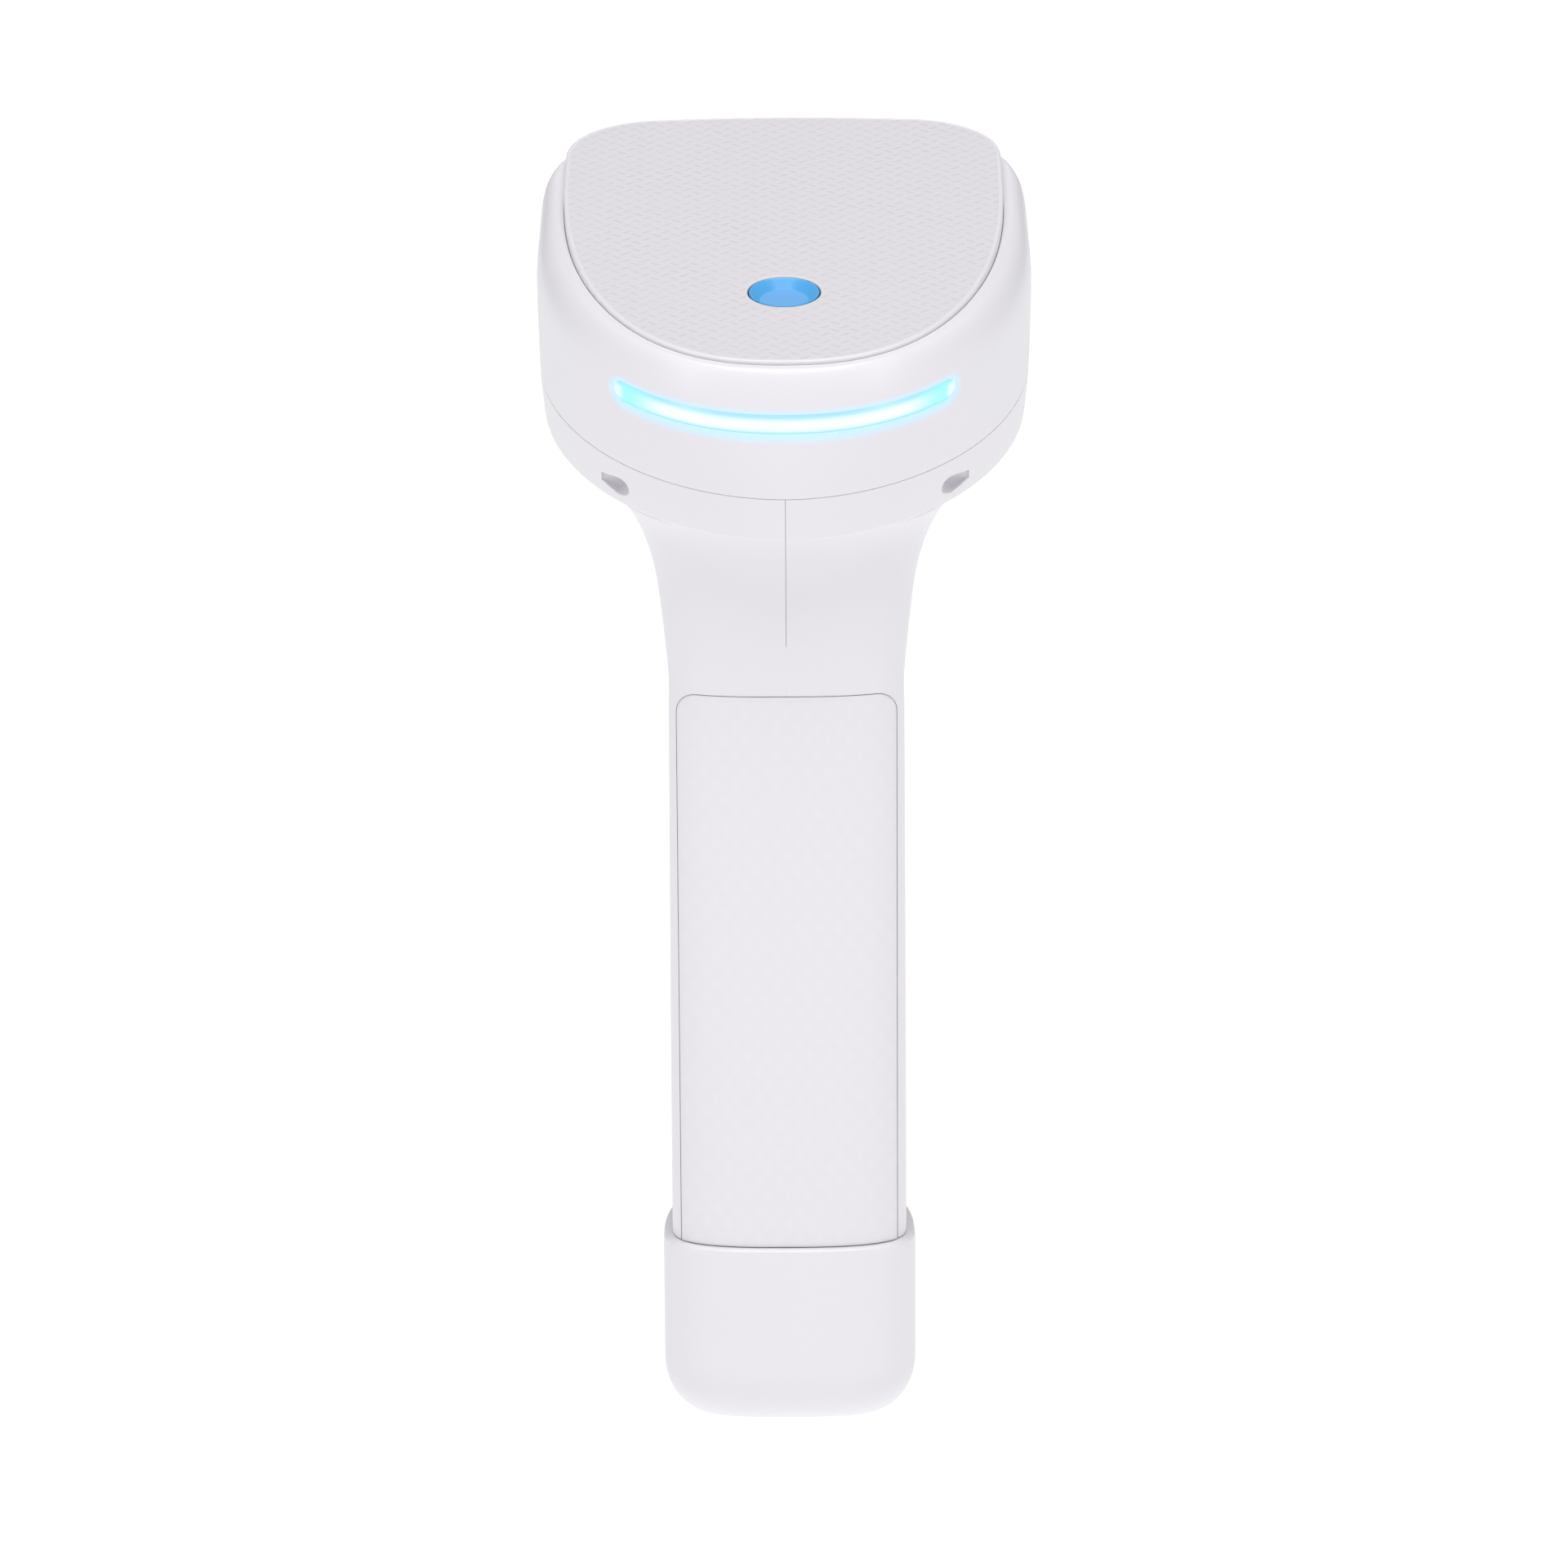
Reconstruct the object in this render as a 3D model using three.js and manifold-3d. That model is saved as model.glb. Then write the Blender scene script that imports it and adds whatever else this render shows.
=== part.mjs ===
// Cordless handheld 2-D barcode scanner, in millimetres.
// The part stands upright on its foot: +Z runs up the handle, +Y is where it scans, +X is the operator's right.
// The origin is the centre of the flat underside of the foot.
import * as THREE from "three";
import { mergeVertices } from "three/addons/utils/BufferGeometryUtils.js";
import Module from "manifold-3d";

const wasm = await Module();
wasm.setup();

// ---- Walls and clearances ----
const WALL = 2.2; // moulded shells
const GAP = 0.3; // between two pieces that touch
const RUN = 0.06; // radial clearance of a running fit

// ---- Handle and foot ----
const FOOT_HEIGHT = 27.8;
const GRIP_LENGTH = 82.7; // straight part of the handle above the foot
const NECK_RISE = 27.7; // from the grip's end to the head's underside, on the handle's widest line
const GRIP_HALF_WIDTH = 17.0;
const GRIP_BACK_DEPTH = 9.0; // from the widest line back to the palm side
const GRIP_FRONT_DEPTH = 27.4; // from the widest line forward to the finger side
const GRIP_BACK_POWER = 2.8; // squareness of the palm side, where 2 is an ellipse
const GRIP_FRONT_POWER = 2.4;
const GRIP_WAIST = 0.25; // how much slimmer the handle is just under the neck
const NECK_SIDE_SPREAD = 3.3; // gentle widening of the neck towards the head
const NECK_SIDE_FILLET = 6.0; // further widening in the curve under the head
const NECK_FRONT_SPREAD = 8.0;
const NECK_FRONT_FILLET = 16.0;
const WIDEST_Y = -8.4; // where the handle is widest
const FOOT_STEP = 1.3; // the foot's rim stands this far out of the handle
const FOOT_CORNER = 8.4; // how far the foot's bottom edge is rounded in
const FOOT_CORNER_HEIGHT = 9.0;
const FOOT_FLOOR = 4.5;
const SPIGOT_HEIGHT = 6.0; // collar of the foot inside the handle
const SPIGOT_WALL = 1.8;

// ---- Head ----
const HEAD_TILT = THREE.MathUtils.degToRad(16); // the nose points up
const PLATE_HALF_WIDTH = 32.0;
const PLATE_LENGTH = 85.6;
const SHOULDER = 3.8; // how far the side walls swell out of the top plate's outline
const FRONT_SWELL = 1.4; // the same, over the scan window
const SHOULDER_DEPTH = 9.5; // depth at which the head is widest
const RIM_DROP = 1.3; // the cover's rim lies this far below the top plate's face
const RIM_SHARE = 0.26; // share of the shoulder already taken up at the rim
const COVER_DEPTH = 19.0; // from the top down to the parting line
const HEAD_DEPTH = 26.0; // from the top down to the underside
const HEAD_OVERHANG = 22.1; // the top's rear edge, behind the handle's widest line
const CORNER_RADIUS = 14.0; // front corners of the top
const CORNER_SWELL = 6.0; // how much rounder the front corners are where the head is widest
const PLATE_THICKNESS = 2.6;
const PLATE_EDGE = 0.7; // how far the top plate's edge is rounded
const PARTING_GAP = 0.3;

// ---- Button, light bar and lanyard slots ----
const BUTTON_U = 23.0; // from the top's rear edge
const BUTTON_RADIUS = 4.95;
const BUTTON_DISH_RADIUS = 3.6;
const BUTTON_DISH_DEPTH = 0.8;
const BUTTON_TRAVEL = 0.6;
const BAR_HALF_SPAN = 23.6;
const BAR_HEIGHT = 3.0;
const BAR_DEPTH = 7.9; // from the top down to the bar's middle
const BAR_RECESS = 0.5;
const BAR_LED_COUNT = 5;
const BAR_LED_PITCH = 8.4;
const SLOT_HEIGHT = 3.2;
const SLOT_DEPTH = 22.7; // from the top down to a lanyard slot's middle
const SLOT_INNER_X = 21.7;
const SLOT_FLOOR_U = 14.5;

// ---- Grip panel ----
const PANEL_HALF_WIDTH = 15.5;
const PANEL_LENGTH = 81.1; // from the foot up
const PANEL_CORNER = 2.8;
const PANEL_THICKNESS = 1.3;
const PANEL_PROUD = 0.25;

// ---- Scan window ----
const WINDOW_HALF_WIDTH = 21.0;
const WINDOW_HEIGHT = 12.4;
const WINDOW_DEPTH = 10.0; // from the top down to the window's middle
const WINDOW_CORNER = 3.0;
const WINDOW_FRAME = 2.2;
const PANE_THICKNESS = 1.5;

// ---- Trigger ----
const TRIGGER_HALF_WIDTH = 8.0;
const TRIGGER_SIDE_GAP = 0.5;
const TRIGGER_LENGTH = 27.0;
const TRIGGER_THICKNESS = 10.5; // at its foot
const TRIGGER_BACK_LEAN = 0.1; // forward reach per height of the back face
const TRIGGER_FRONT_LEAN = 0.26; // forward reach per height of the finger face
const TRIGGER_PROUD = 4.2; // how far its foot stands out of the neck
const TRIGGER_PIVOT_RISE = 25.6; // pivot above the grip's end
const TRIGGER_PIN_RADIUS = 1.2;
const TRIGGER_SWITCH_DROP = 12.0; // the switch's plunger, below the pivot

// ---- Electronics and battery pack ----
const BOARD = 1.6;
const MAIN_BOARD_HALF_WIDTH = 22.5;
const MAIN_BOARD_LENGTH = 50.0;
const MAIN_BOARD_START_U = 13.0;
const MAIN_BOARD_DEPTH = 15.5; // from the top down to the board's upper face
const CELL_RADIUS = 9.2;
const CELL_LENGTH = 65.0;
const CARRIER_WALL = 1.1;
const CONTACT_HALF_PITCH = 4.5;

// ---- Screws ----
const SCREW_RADIUS = 1.1;
const SCREW_HEAD_RADIUS = 2.2;
const SCREW_HEAD_HEIGHT = 1.6;
const BOSS_RADIUS = 3.2;

// ---- Values worked out from the sizes above ----
const GRIP_END_Z = FOOT_HEIGHT + GRIP_LENGTH;
const UNDERSIDE_Z = GRIP_END_Z + NECK_RISE;
const COS = Math.cos(HEAD_TILT);
const SIN = Math.sin(HEAD_TILT);
const HEAD_Y = WIDEST_Y - HEAD_OVERHANG;
const WIDEST_U = (HEAD_OVERHANG - HEAD_DEPTH * SIN) / COS;
const HEAD_Z = UNDERSIDE_Z + HEAD_DEPTH * COS - WIDEST_U * SIN;
const HEAD_BACK_STEPS = 24; // steps round the rear half of the head's outline
const HEAD_CORNER_STEPS = 5; // steps round each front corner
const GRIP_ROUND = 40; // points round the handle's outline
const FAR = 200; // longer than any piece
const SPIGOT_INSET = WALL + 0.4;
const CARRIER_RADIUS = CELL_RADIUS + GAP + CARRIER_WALL;
const CELL_Y = WIDEST_Y - GRIP_BACK_DEPTH + SPIGOT_INSET + SPIGOT_WALL + CARRIER_RADIUS + 0.5;

// ---- Materials ----
const SHELL_WHITE = new THREE.MeshStandardMaterial({ color: 0xebeaf0, roughness: 0.38 });
const PLATE_GREY = new THREE.MeshStandardMaterial({ color: 0xe0dee3, roughness: 0.55 });
const PANEL_GREY = new THREE.MeshStandardMaterial({ color: 0xe6e5ea, roughness: 0.6 });
const BUTTON_BLUE = new THREE.MeshStandardMaterial({ color: 0x5fb8f0, roughness: 0.35 });
const BAR_CYAN = new THREE.MeshStandardMaterial({ color: 0xcff8ff, roughness: 0.25 });
const DARK_PLASTIC = new THREE.MeshStandardMaterial({ color: 0x1c1d20, roughness: 0.5 });
const WINDOW_CLEAR = new THREE.MeshStandardMaterial({ color: 0x30343c, roughness: 0.05 });
const TRIGGER_GREY = new THREE.MeshStandardMaterial({ color: 0x9a9ca3, roughness: 0.45 });
const STEEL = new THREE.MeshStandardMaterial({ color: 0xb9bcc2, roughness: 0.3, metalness: 1 });
const GOLD = new THREE.MeshStandardMaterial({ color: 0xe2b85c, roughness: 0.3, metalness: 1 });
const BOARD_GREEN = new THREE.MeshStandardMaterial({ color: 0x1f5b3a, roughness: 0.5 });
const LED_WHITE = new THREE.MeshStandardMaterial({ color: 0xf4f6f2, roughness: 0.3 });
const LENS_GLASS = new THREE.MeshStandardMaterial({ color: 0x2b3550, roughness: 0.05 });
const CERAMIC = new THREE.MeshStandardMaterial({ color: 0xd9d2c4, roughness: 0.5 });
const CELL_GREEN = new THREE.MeshStandardMaterial({ color: 0x2f7f8c, roughness: 0.4 });
const SEAL_BLACK = new THREE.MeshStandardMaterial({ color: 0x26272a, roughness: 0.8 });

// ---- Solids: joining and cutting ----
function solid(geometry, matrix) {
  const bare = new THREE.BufferGeometry();
  const source = geometry.index ? geometry.toNonIndexed() : geometry;
  bare.setAttribute("position", source.getAttribute("position").clone());
  if (matrix) bare.applyMatrix4(matrix);
  const merged = mergeVertices(bare, 1e-4);
  return new wasm.Manifold(
    new wasm.Mesh({
      numProp: 3,
      vertProperties: merged.attributes.position.array,
      triVerts: new Uint32Array(merged.index.array),
    }),
  );
}

function geometryOf(manifold) {
  const mesh = manifold.getMesh();
  const geometry = new THREE.BufferGeometry();
  geometry.setAttribute("position", new THREE.BufferAttribute(mesh.vertProperties, 3));
  geometry.setIndex(new THREE.BufferAttribute(mesh.triVerts, 1));
  return geometry;
}

const join = (solids) => solids.reduce((sum, next) => sum.add(next));
const cut = (body, tools) => tools.reduce((left, tool) => left.subtract(tool), body);

// ---- The head's own frame: u runs forward along the top, w up out of it ----
const headFrame = new THREE.Matrix4().makeBasis(
  new THREE.Vector3(1, 0, 0),
  new THREE.Vector3(0, COS, SIN),
  new THREE.Vector3(0, -SIN, COS),
);
headFrame.setPosition(0, HEAD_Y, HEAD_Z);

const inHead = (x, u, w) => new THREE.Vector3(x, u, w).applyMatrix4(headFrame);
const headPlace = (x, u, w) =>
  headFrame.clone().multiply(new THREE.Matrix4().makeTranslation(x, u, w));

// ---- Closed solid through rings of equal point count, listed from the bottom up ----
function loft(rings) {
  const count = rings[0].length;
  const positions = [];
  const push = (...points) => points.forEach((p) => positions.push(p.x, p.y, p.z));
  for (let r = 1; r < rings.length; r++) {
    for (let i = 0; i < count; i++) {
      const j = (i + 1) % count;
      push(rings[r - 1][i], rings[r - 1][j], rings[r][j]);
      push(rings[r - 1][i], rings[r][j], rings[r][i]);
    }
  }
  const cap = (ring, upward) => {
    const flat = ring.map((p) => new THREE.Vector2(p.x, p.y));
    for (const [a, b, c] of THREE.ShapeUtils.triangulateShape(flat, [])) {
      if (upward) push(ring[a], ring[b], ring[c]);
      else push(ring[a], ring[c], ring[b]);
    }
  };
  cap(rings[0], false);
  cap(rings[rings.length - 1], true);
  const geometry = new THREE.BufferGeometry();
  geometry.setAttribute("position", new THREE.Float32BufferAttribute(positions, 3));
  return geometry;
}

// A quarter of a superellipse, from the side (t = 0) to the end (t = 1).
function quarter(t, width, depth, power) {
  const angle = (t * Math.PI) / 2;
  return [width * Math.cos(angle) ** (2 / power), depth * Math.sin(angle) ** (2 / power)];
}

const mix = THREE.MathUtils.lerp;

// How far the shoulder has swelled at depth w: 0 on the top plate, 1 where the head is widest.
function swell(w) {
  if (w > -RIM_DROP) return 0;
  const rise = Math.max(0, (w + SHOULDER_DEPTH) / (SHOULDER_DEPTH - RIM_DROP));
  return mix(RIM_SHARE, 1, Math.sqrt(Math.max(0, 1 - rise * rise)));
}

// The head's outline at depth w below the top (w is 0 or less), moved in by inset.
function headOutline(w, inset) {
  const out = swell(w);
  const below = Math.max(0, (-w - SHOULDER_DEPTH) / (HEAD_DEPTH - SHOULDER_DEPTH));
  const halfWidth = PLATE_HALF_WIDTH + SHOULDER * out - 1.1 * below ** 1.2;
  const nose = -SHOULDER * out - 0.6 * Math.sin(below * Math.PI) + 0.5 * below ** 3;
  const front = PLATE_LENGTH + FRONT_SWELL * out - 0.8 * below ** 1.5;
  const roundness = below > 0 ? mix(2.15, 1.92, Math.min(1, below * 1.7)) : mix(2.4, 2.15, out);
  const reach = below > 0 ? mix(0.62, 0.5, Math.min(1, below * 1.7)) : mix(0.77, 0.62, out);
  const rearLength = reach * (front - nose);
  return {
    halfWidth: halfWidth - inset,
    widest: nose + rearLength,
    rear: rearLength - inset,
    front: front - inset,
    power: roundness,
    corner: Math.max(1, CORNER_RADIUS + CORNER_SWELL * out - inset),
  };
}

// Points of the head's outline at depth w, anticlockwise from above, starting on the right.
function headRing(w, inset = 0) {
  const { halfWidth, widest, rear, front, power, corner } = headOutline(w, inset);
  const right = [];
  for (let i = 0; i <= HEAD_CORNER_STEPS; i++) {
    const angle = (i / HEAD_CORNER_STEPS) * (Math.PI / 2);
    const u = front - corner + corner * Math.sin(angle);
    right.push([halfWidth - corner + corner * Math.cos(angle), u - 0.8 * Math.sin(angle)]);
  }
  const middle = [[0, front]];
  const left = right.map(([x, u]) => [-x, u]).reverse();
  const back = [];
  for (let i = 0; i <= HEAD_BACK_STEPS; i++) {
    const t = (2 * i) / HEAD_BACK_STEPS;
    const [x, v] = quarter(t <= 1 ? t : 2 - t, halfWidth, rear, power);
    back.push([t <= 1 ? -x : x, widest - v]);
  }
  return [...right, ...middle, ...left, ...back].map(([x, u]) => inHead(x, u, w));
}

// The point of the outline's rear half at offset x from the middle, and its outward direction.
function noseAt(x, w, inset) {
  const { halfWidth, widest, rear, power } = headOutline(w, inset);
  const u = (at) => widest - rear * (1 - Math.abs(at / halfWidth) ** power) ** (1 / power);
  const slope = (u(x + 0.05) - u(x - 0.05)) / 0.1;
  return { u: u(x), angle: Math.atan(slope) };
}

const headSolid = (depths, inset) => solid(loft(depths.map((w) => headRing(w, inset))));

// A box in the head's frame between two corners.
function headBox([x0, u0, w0], [x1, u1, w1]) {
  const box = new THREE.BoxGeometry(x1 - x0, u1 - u0, w1 - w0);
  return solid(box, headPlace((x0 + x1) / 2, (u0 + u1) / 2, (w0 + w1) / 2));
}

// A round bar along the head's w axis, from w0 up to w1.
function headBar(x, u, w0, w1, radius, sides = 16) {
  const bar = new THREE.CylinderGeometry(radius, radius, w1 - w0, sides).rotateX(Math.PI / 2);
  return solid(bar, headPlace(x, u, (w0 + w1) / 2));
}

// A round bar along Z or X, centred on a point.
function barZ(x, y, z0, z1, radius, sides = 16) {
  const bar = new THREE.CylinderGeometry(radius, radius, z1 - z0, sides).rotateX(Math.PI / 2);
  return solid(bar.translate(x, y, (z0 + z1) / 2));
}

function barX(x0, x1, y, z, radius, sides = 16) {
  const bar = new THREE.CylinderGeometry(radius, radius, x1 - x0, sides).rotateZ(Math.PI / 2);
  return solid(bar.translate((x0 + x1) / 2, y, z));
}

function barY(x, y0, y1, z, radius, sides = 16) {
  const bar = new THREE.CylinderGeometry(radius, radius, y1 - y0, sides);
  return solid(bar.translate(x, (y0 + y1) / 2, z));
}

function box([x0, y0, z0], [x1, y1, z1]) {
  const block = new THREE.BoxGeometry(x1 - x0, y1 - y0, z1 - z0);
  return solid(block.translate((x0 + x1) / 2, (y0 + y1) / 2, (z0 + z1) / 2));
}

// A rectangle with rounded corners, centred on the origin.
function roundedRectangle(halfWidth, halfHeight, radius) {
  const shape = new THREE.Shape();
  shape.moveTo(halfWidth - radius, -halfHeight);
  shape.absarc(halfWidth - radius, radius - halfHeight, radius, -Math.PI / 2, 0);
  shape.absarc(halfWidth - radius, halfHeight - radius, radius, 0, Math.PI / 2);
  shape.absarc(radius - halfWidth, halfHeight - radius, radius, Math.PI / 2, Math.PI);
  shape.absarc(radius - halfWidth, radius - halfHeight, radius, Math.PI, 1.5 * Math.PI);
  shape.closePath();
  return shape;
}

// The shape, drawn across the head in x and w, extruded forward from u0 to u1.
function headPrism(shape, w, u0, u1) {
  const prism = new THREE.ExtrudeGeometry(shape, { depth: u1 - u0, bevelEnabled: false, curveSegments: 5 });
  prism.rotateX(Math.PI / 2);
  return solid(prism, headPlace(0, u1, w));
}

// ---- The handle's outline ----
function gripRing(place, halfWidth, backDepth, frontDepth, backPower = GRIP_BACK_POWER) {
  const ring = [];
  for (let i = 0; i < GRIP_ROUND; i++) {
    const t = (4 * i) / GRIP_ROUND;
    const front = t < 2;
    const local = t % 2;
    const depth = front ? frontDepth : backDepth;
    const [x, d] = quarter(local <= 1 ? local : 2 - local, halfWidth, depth, front ? GRIP_FRONT_POWER : backPower);
    const side = local <= 1 === front ? 1 : -1;
    ring.push(place(side * x, front ? d : -d));
  }
  return ring;
}

// A level outline at height z, moved in by inset.
const levelRing = (z, inset, slim = 0) =>
  gripRing(
    (x, d) => new THREE.Vector3(x, WIDEST_Y + d, z),
    GRIP_HALF_WIDTH - slim - inset,
    GRIP_BACK_DEPTH - inset,
    GRIP_FRONT_DEPTH - inset,
  );

// An outline of the neck: share 0 is the grip's end and share 1 the head's underside.
function neckRing(share, inset, lift = 0) {
  const fillet = Math.max(0, (share - 0.45) / 0.55);
  const flare = 1 - Math.sqrt(1 - fillet * fillet);
  const tilt = Math.tan(HEAD_TILT) * share ** 1.5;
  const z = GRIP_END_Z + NECK_RISE * share + lift;
  return gripRing(
    (x, d) => new THREE.Vector3(x, WIDEST_Y + d, z + d * tilt),
    GRIP_HALF_WIDTH - GRIP_WAIST + NECK_SIDE_SPREAD * share ** 1.2 + NECK_SIDE_FILLET * flare - inset,
    GRIP_BACK_DEPTH + 3.2 * share ** 1.4 + 3.2 * flare - inset,
    GRIP_FRONT_DEPTH + NECK_FRONT_SPREAD * share ** 1.2 + NECK_FRONT_FILLET * flare - inset,
    mix(GRIP_BACK_POWER, 2, share),
  );
}

const NECK_SHARES = [0, 0.25, 0.48, 0.66, 0.8, 0.9, 0.96, 1];

// The handle and neck as one solid, from z0 up into the head.
function handleSolid(z0, inset, lift) {
  const grip = [
    levelRing(z0, inset),
    levelRing(FOOT_HEIGHT + GRIP_LENGTH * 0.35, inset, 0.05),
    levelRing(FOOT_HEIGHT + GRIP_LENGTH * 0.7, inset, GRIP_WAIST * 0.6),
  ];
  const neck = NECK_SHARES.map((share) => neckRing(share, inset));
  return solid(loft([...grip, ...neck, neckRing(1, inset, lift)]));
}

// ---- Screw places ----
const COVER_SCREWS = [
  { name: "cover_screw_rear_left", x: -28.6, u: 34 },
  { name: "cover_screw_rear_right", x: 28.6, u: 34 },
  { name: "cover_screw_front_left", x: -27.0, u: 74 },
  { name: "cover_screw_front_right", x: 27.0, u: 74 },
];
const SHELL_SCREW_Y = CELL_Y + CARRIER_RADIUS + GAP + BOSS_RADIUS;
const SHELL_SCREWS = [
  { name: "shell_screw_lower", z: FOOT_HEIGHT + SPIGOT_HEIGHT + 8 },
  { name: "shell_screw_upper", z: FOOT_HEIGHT + GRIP_LENGTH - 16 },
];

const COVER_BOTTOM = -COVER_DEPTH;
const SHELL_TOP = -COVER_DEPTH - PARTING_GAP;
const PLATE_SEAT = -PLATE_THICKNESS - GAP;
const CEILING = PLATE_SEAT - WALL;

// ---- Trigger geometry ----
const PIVOT_Z = GRIP_END_Z + TRIGGER_PIVOT_RISE;
const SWITCH_Z = PIVOT_Z - TRIGGER_SWITCH_DROP;
const TRIGGER_TOP_Z = PIVOT_Z + 4.4;
const TRIGGER_FOOT_Z = PIVOT_Z - TRIGGER_LENGTH;
const TRIGGER_FOOT_Y = WIDEST_Y + GRIP_FRONT_DEPTH + TRIGGER_PROUD - TRIGGER_THICKNESS;
const triggerBackY = (z) => TRIGGER_FOOT_Y + TRIGGER_BACK_LEAN * (z - TRIGGER_FOOT_Z);
const PIVOT_Y = triggerBackY(PIVOT_Z) + 3.0;
const PIN_HALF = TRIGGER_HALF_WIDTH + TRIGGER_SIDE_GAP + 1.8;
const SPRING_Z = PIVOT_Z - 20.5;
const SPRING_BACK_Y = triggerBackY(SPRING_Z) - 7.4;

// The trigger's side view, drawn in y and z.
function triggerProfile() {
  const shape = new THREE.Shape();
  const long = TRIGGER_TOP_Z - TRIGGER_FOOT_Z;
  const back = (depth, rise) => [triggerBackY(TRIGGER_FOOT_Z + rise) + depth, TRIGGER_FOOT_Z + rise];
  const face = (depth, rise) => [
    TRIGGER_FOOT_Y + TRIGGER_THICKNESS + TRIGGER_FRONT_LEAN * rise - depth,
    TRIGGER_FOOT_Z + rise,
  ];
  const curve = (corner, end) => shape.quadraticCurveTo(...corner, ...end);
  shape.moveTo(...back(0, long - 3.2));
  shape.lineTo(...back(0, 4.5));
  curve(back(0, 0), back(4, 0));
  curve(face(0, 0), face(0, 4.5));
  curve(face(3.8, long * 0.55), face(0.9, long - 3.5));
  curve(face(0.4, long), face(4.4, long));
  shape.lineTo(...back(3.6, long));
  curve(back(0, long), back(0, long - 3.2));
  return shape;
}

// Side-view basis: the drawing's x becomes y, its y becomes z, and it is extruded along x.
const sideOn = new THREE.Matrix4().makeBasis(
  new THREE.Vector3(0, 1, 0),
  new THREE.Vector3(0, 0, 1),
  new THREE.Vector3(1, 0, 0),
);

// A side view in y and z, carried across X between the two half widths with rounded long edges.
function sidePrism(shape, halfWidth, round) {
  const outline = shape.getPoints(5).slice(0, -1);
  const levels = [1, 0.8, 0.4, 0].map((step) => [-halfWidth + round * (1 - step), step]);
  const mirrored = levels.map(([x, step]) => [-x, step]).reverse();
  const rings = [...levels, ...mirrored].map(([x, step]) =>
    movedIn(outline, round * (1 - Math.sqrt(1 - step * step))).map((p) => new THREE.Vector3(p.x, p.y, x)),
  );
  return solid(loft(rings), sideOn);
}

// An anticlockwise outline with each point moved in square to the curve there.
function movedIn(outline, distance) {
  const count = outline.length;
  return outline.map((point, i) => {
    const along = outline[(i + 1) % count].clone().sub(outline[(i + count - 1) % count]).normalize();
    return new THREE.Vector2(point.x - along.y * distance, point.y + along.x * distance);
  });
}

// The opening in the neck that the trigger swings in.
function triggerOpening() {
  const half = TRIGGER_HALF_WIDTH + TRIGGER_SIDE_GAP;
  return box([-half, TRIGGER_FOOT_Y - 4, TRIGGER_FOOT_Z - 1.3], [half, FAR, TRIGGER_TOP_Z + 0.8]);
}

// ---- Head pieces ----
const COVER_LEVELS = [COVER_BOTTOM, -14, -SHOULDER_DEPTH, -6.4, -4.1, -2.6, -1.7, -RIM_DROP];
const LOWER_LEVELS = [-HEAD_DEPTH, -HEAD_DEPTH + 0.45, -HEAD_DEPTH + 1.5, -22.5, SHELL_TOP];
const LOWER_INSETS = [1.0, 0.25, 0, 0, 0];
const INNER_LEVELS = [COVER_BOTTOM - 1, -SHOULDER_DEPTH, CEILING];

const barStadium = (grow) =>
  roundedRectangle(BAR_HALF_SPAN + grow, BAR_HEIGHT / 2 + grow, BAR_HEIGHT / 2 + grow - 0.01);

function makeCover() {
  const outer = headSolid(COVER_LEVELS, 0);
  const hollow = headSolid(INNER_LEVELS, WALL);
  const plateSeat = solid(loft([PLATE_SEAT, 1].map((w) => plateRing(w, -GAP))));
  const buttonHole = headBar(0, BUTTON_U, CEILING - 1, 1, BUTTON_RADIUS + GAP, 32);
  const barSlot = headPrism(barStadium(0), -BAR_DEPTH, -FAR, 15);
  const windowHole = headPrism(
    roundedRectangle(WINDOW_HALF_WIDTH, WINDOW_HEIGHT / 2, WINDOW_CORNER),
    -WINDOW_DEPTH,
    PLATE_LENGTH - 10,
    FAR,
  );
  const bosses = COVER_SCREWS.map(({ x, u }) => headBar(x, u, COVER_BOTTOM, CEILING + 0.5, BOSS_RADIUS, 12));
  const pilots = COVER_SCREWS.map(({ x, u }) =>
    headBar(x, u, COVER_BOTTOM - 1, COVER_BOTTOM + 8, SCREW_RADIUS + 0.1, 10),
  );
  const shell = cut(outer, [hollow, plateSeat, buttonHole, barSlot, windowHole]);
  return cut(join([shell, ...bosses.map((boss) => boss.intersect(outer))]), pilots);
}

// The top plate's outline, which keeps the same shape through its thickness.
function plateRing(w, inset) {
  const here = headRing(0, inset);
  const rise = new THREE.Vector3(0, -SIN, COS).multiplyScalar(w);
  return here.map((p) => p.add(rise));
}

function makeTopPlate() {
  const steps = [
    [-PLATE_THICKNESS, 0],
    [-PLATE_EDGE, 0],
    [-0.3 * PLATE_EDGE, 0.3 * PLATE_EDGE],
    [0, PLATE_EDGE],
  ];
  const slab = solid(loft(steps.map(([w, inset]) => plateRing(w, inset))));
  return cut(slab, [headBar(0, BUTTON_U, -5, 1, BUTTON_RADIUS + GAP, 32)]);
}

function makeButton() {
  const skirt = CEILING - GAP;
  const flange = skirt - 1.2;
  const stem = -MAIN_BOARD_DEPTH + 4.4;
  const outline = [
    [0, -BUTTON_DISH_DEPTH],
    [BUTTON_DISH_RADIUS, -BUTTON_DISH_DEPTH],
    [BUTTON_RADIUS - 0.5, -0.12],
    [BUTTON_RADIUS - 0.12, -0.05],
    [BUTTON_RADIUS, -0.25],
    [BUTTON_RADIUS, skirt],
    [BUTTON_RADIUS + 1.3, skirt],
    [BUTTON_RADIUS + 1.3, flange],
    [1.6, flange],
    [1.6, stem],
    [0, stem],
  ].reverse();
  const profile = outline.map(([r, w]) => new THREE.Vector2(r, w));
  const turned = new THREE.LatheGeometry(profile, 28).rotateX(Math.PI / 2);
  return solid(turned, headPlace(0, BUTTON_U, 0));
}

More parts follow.
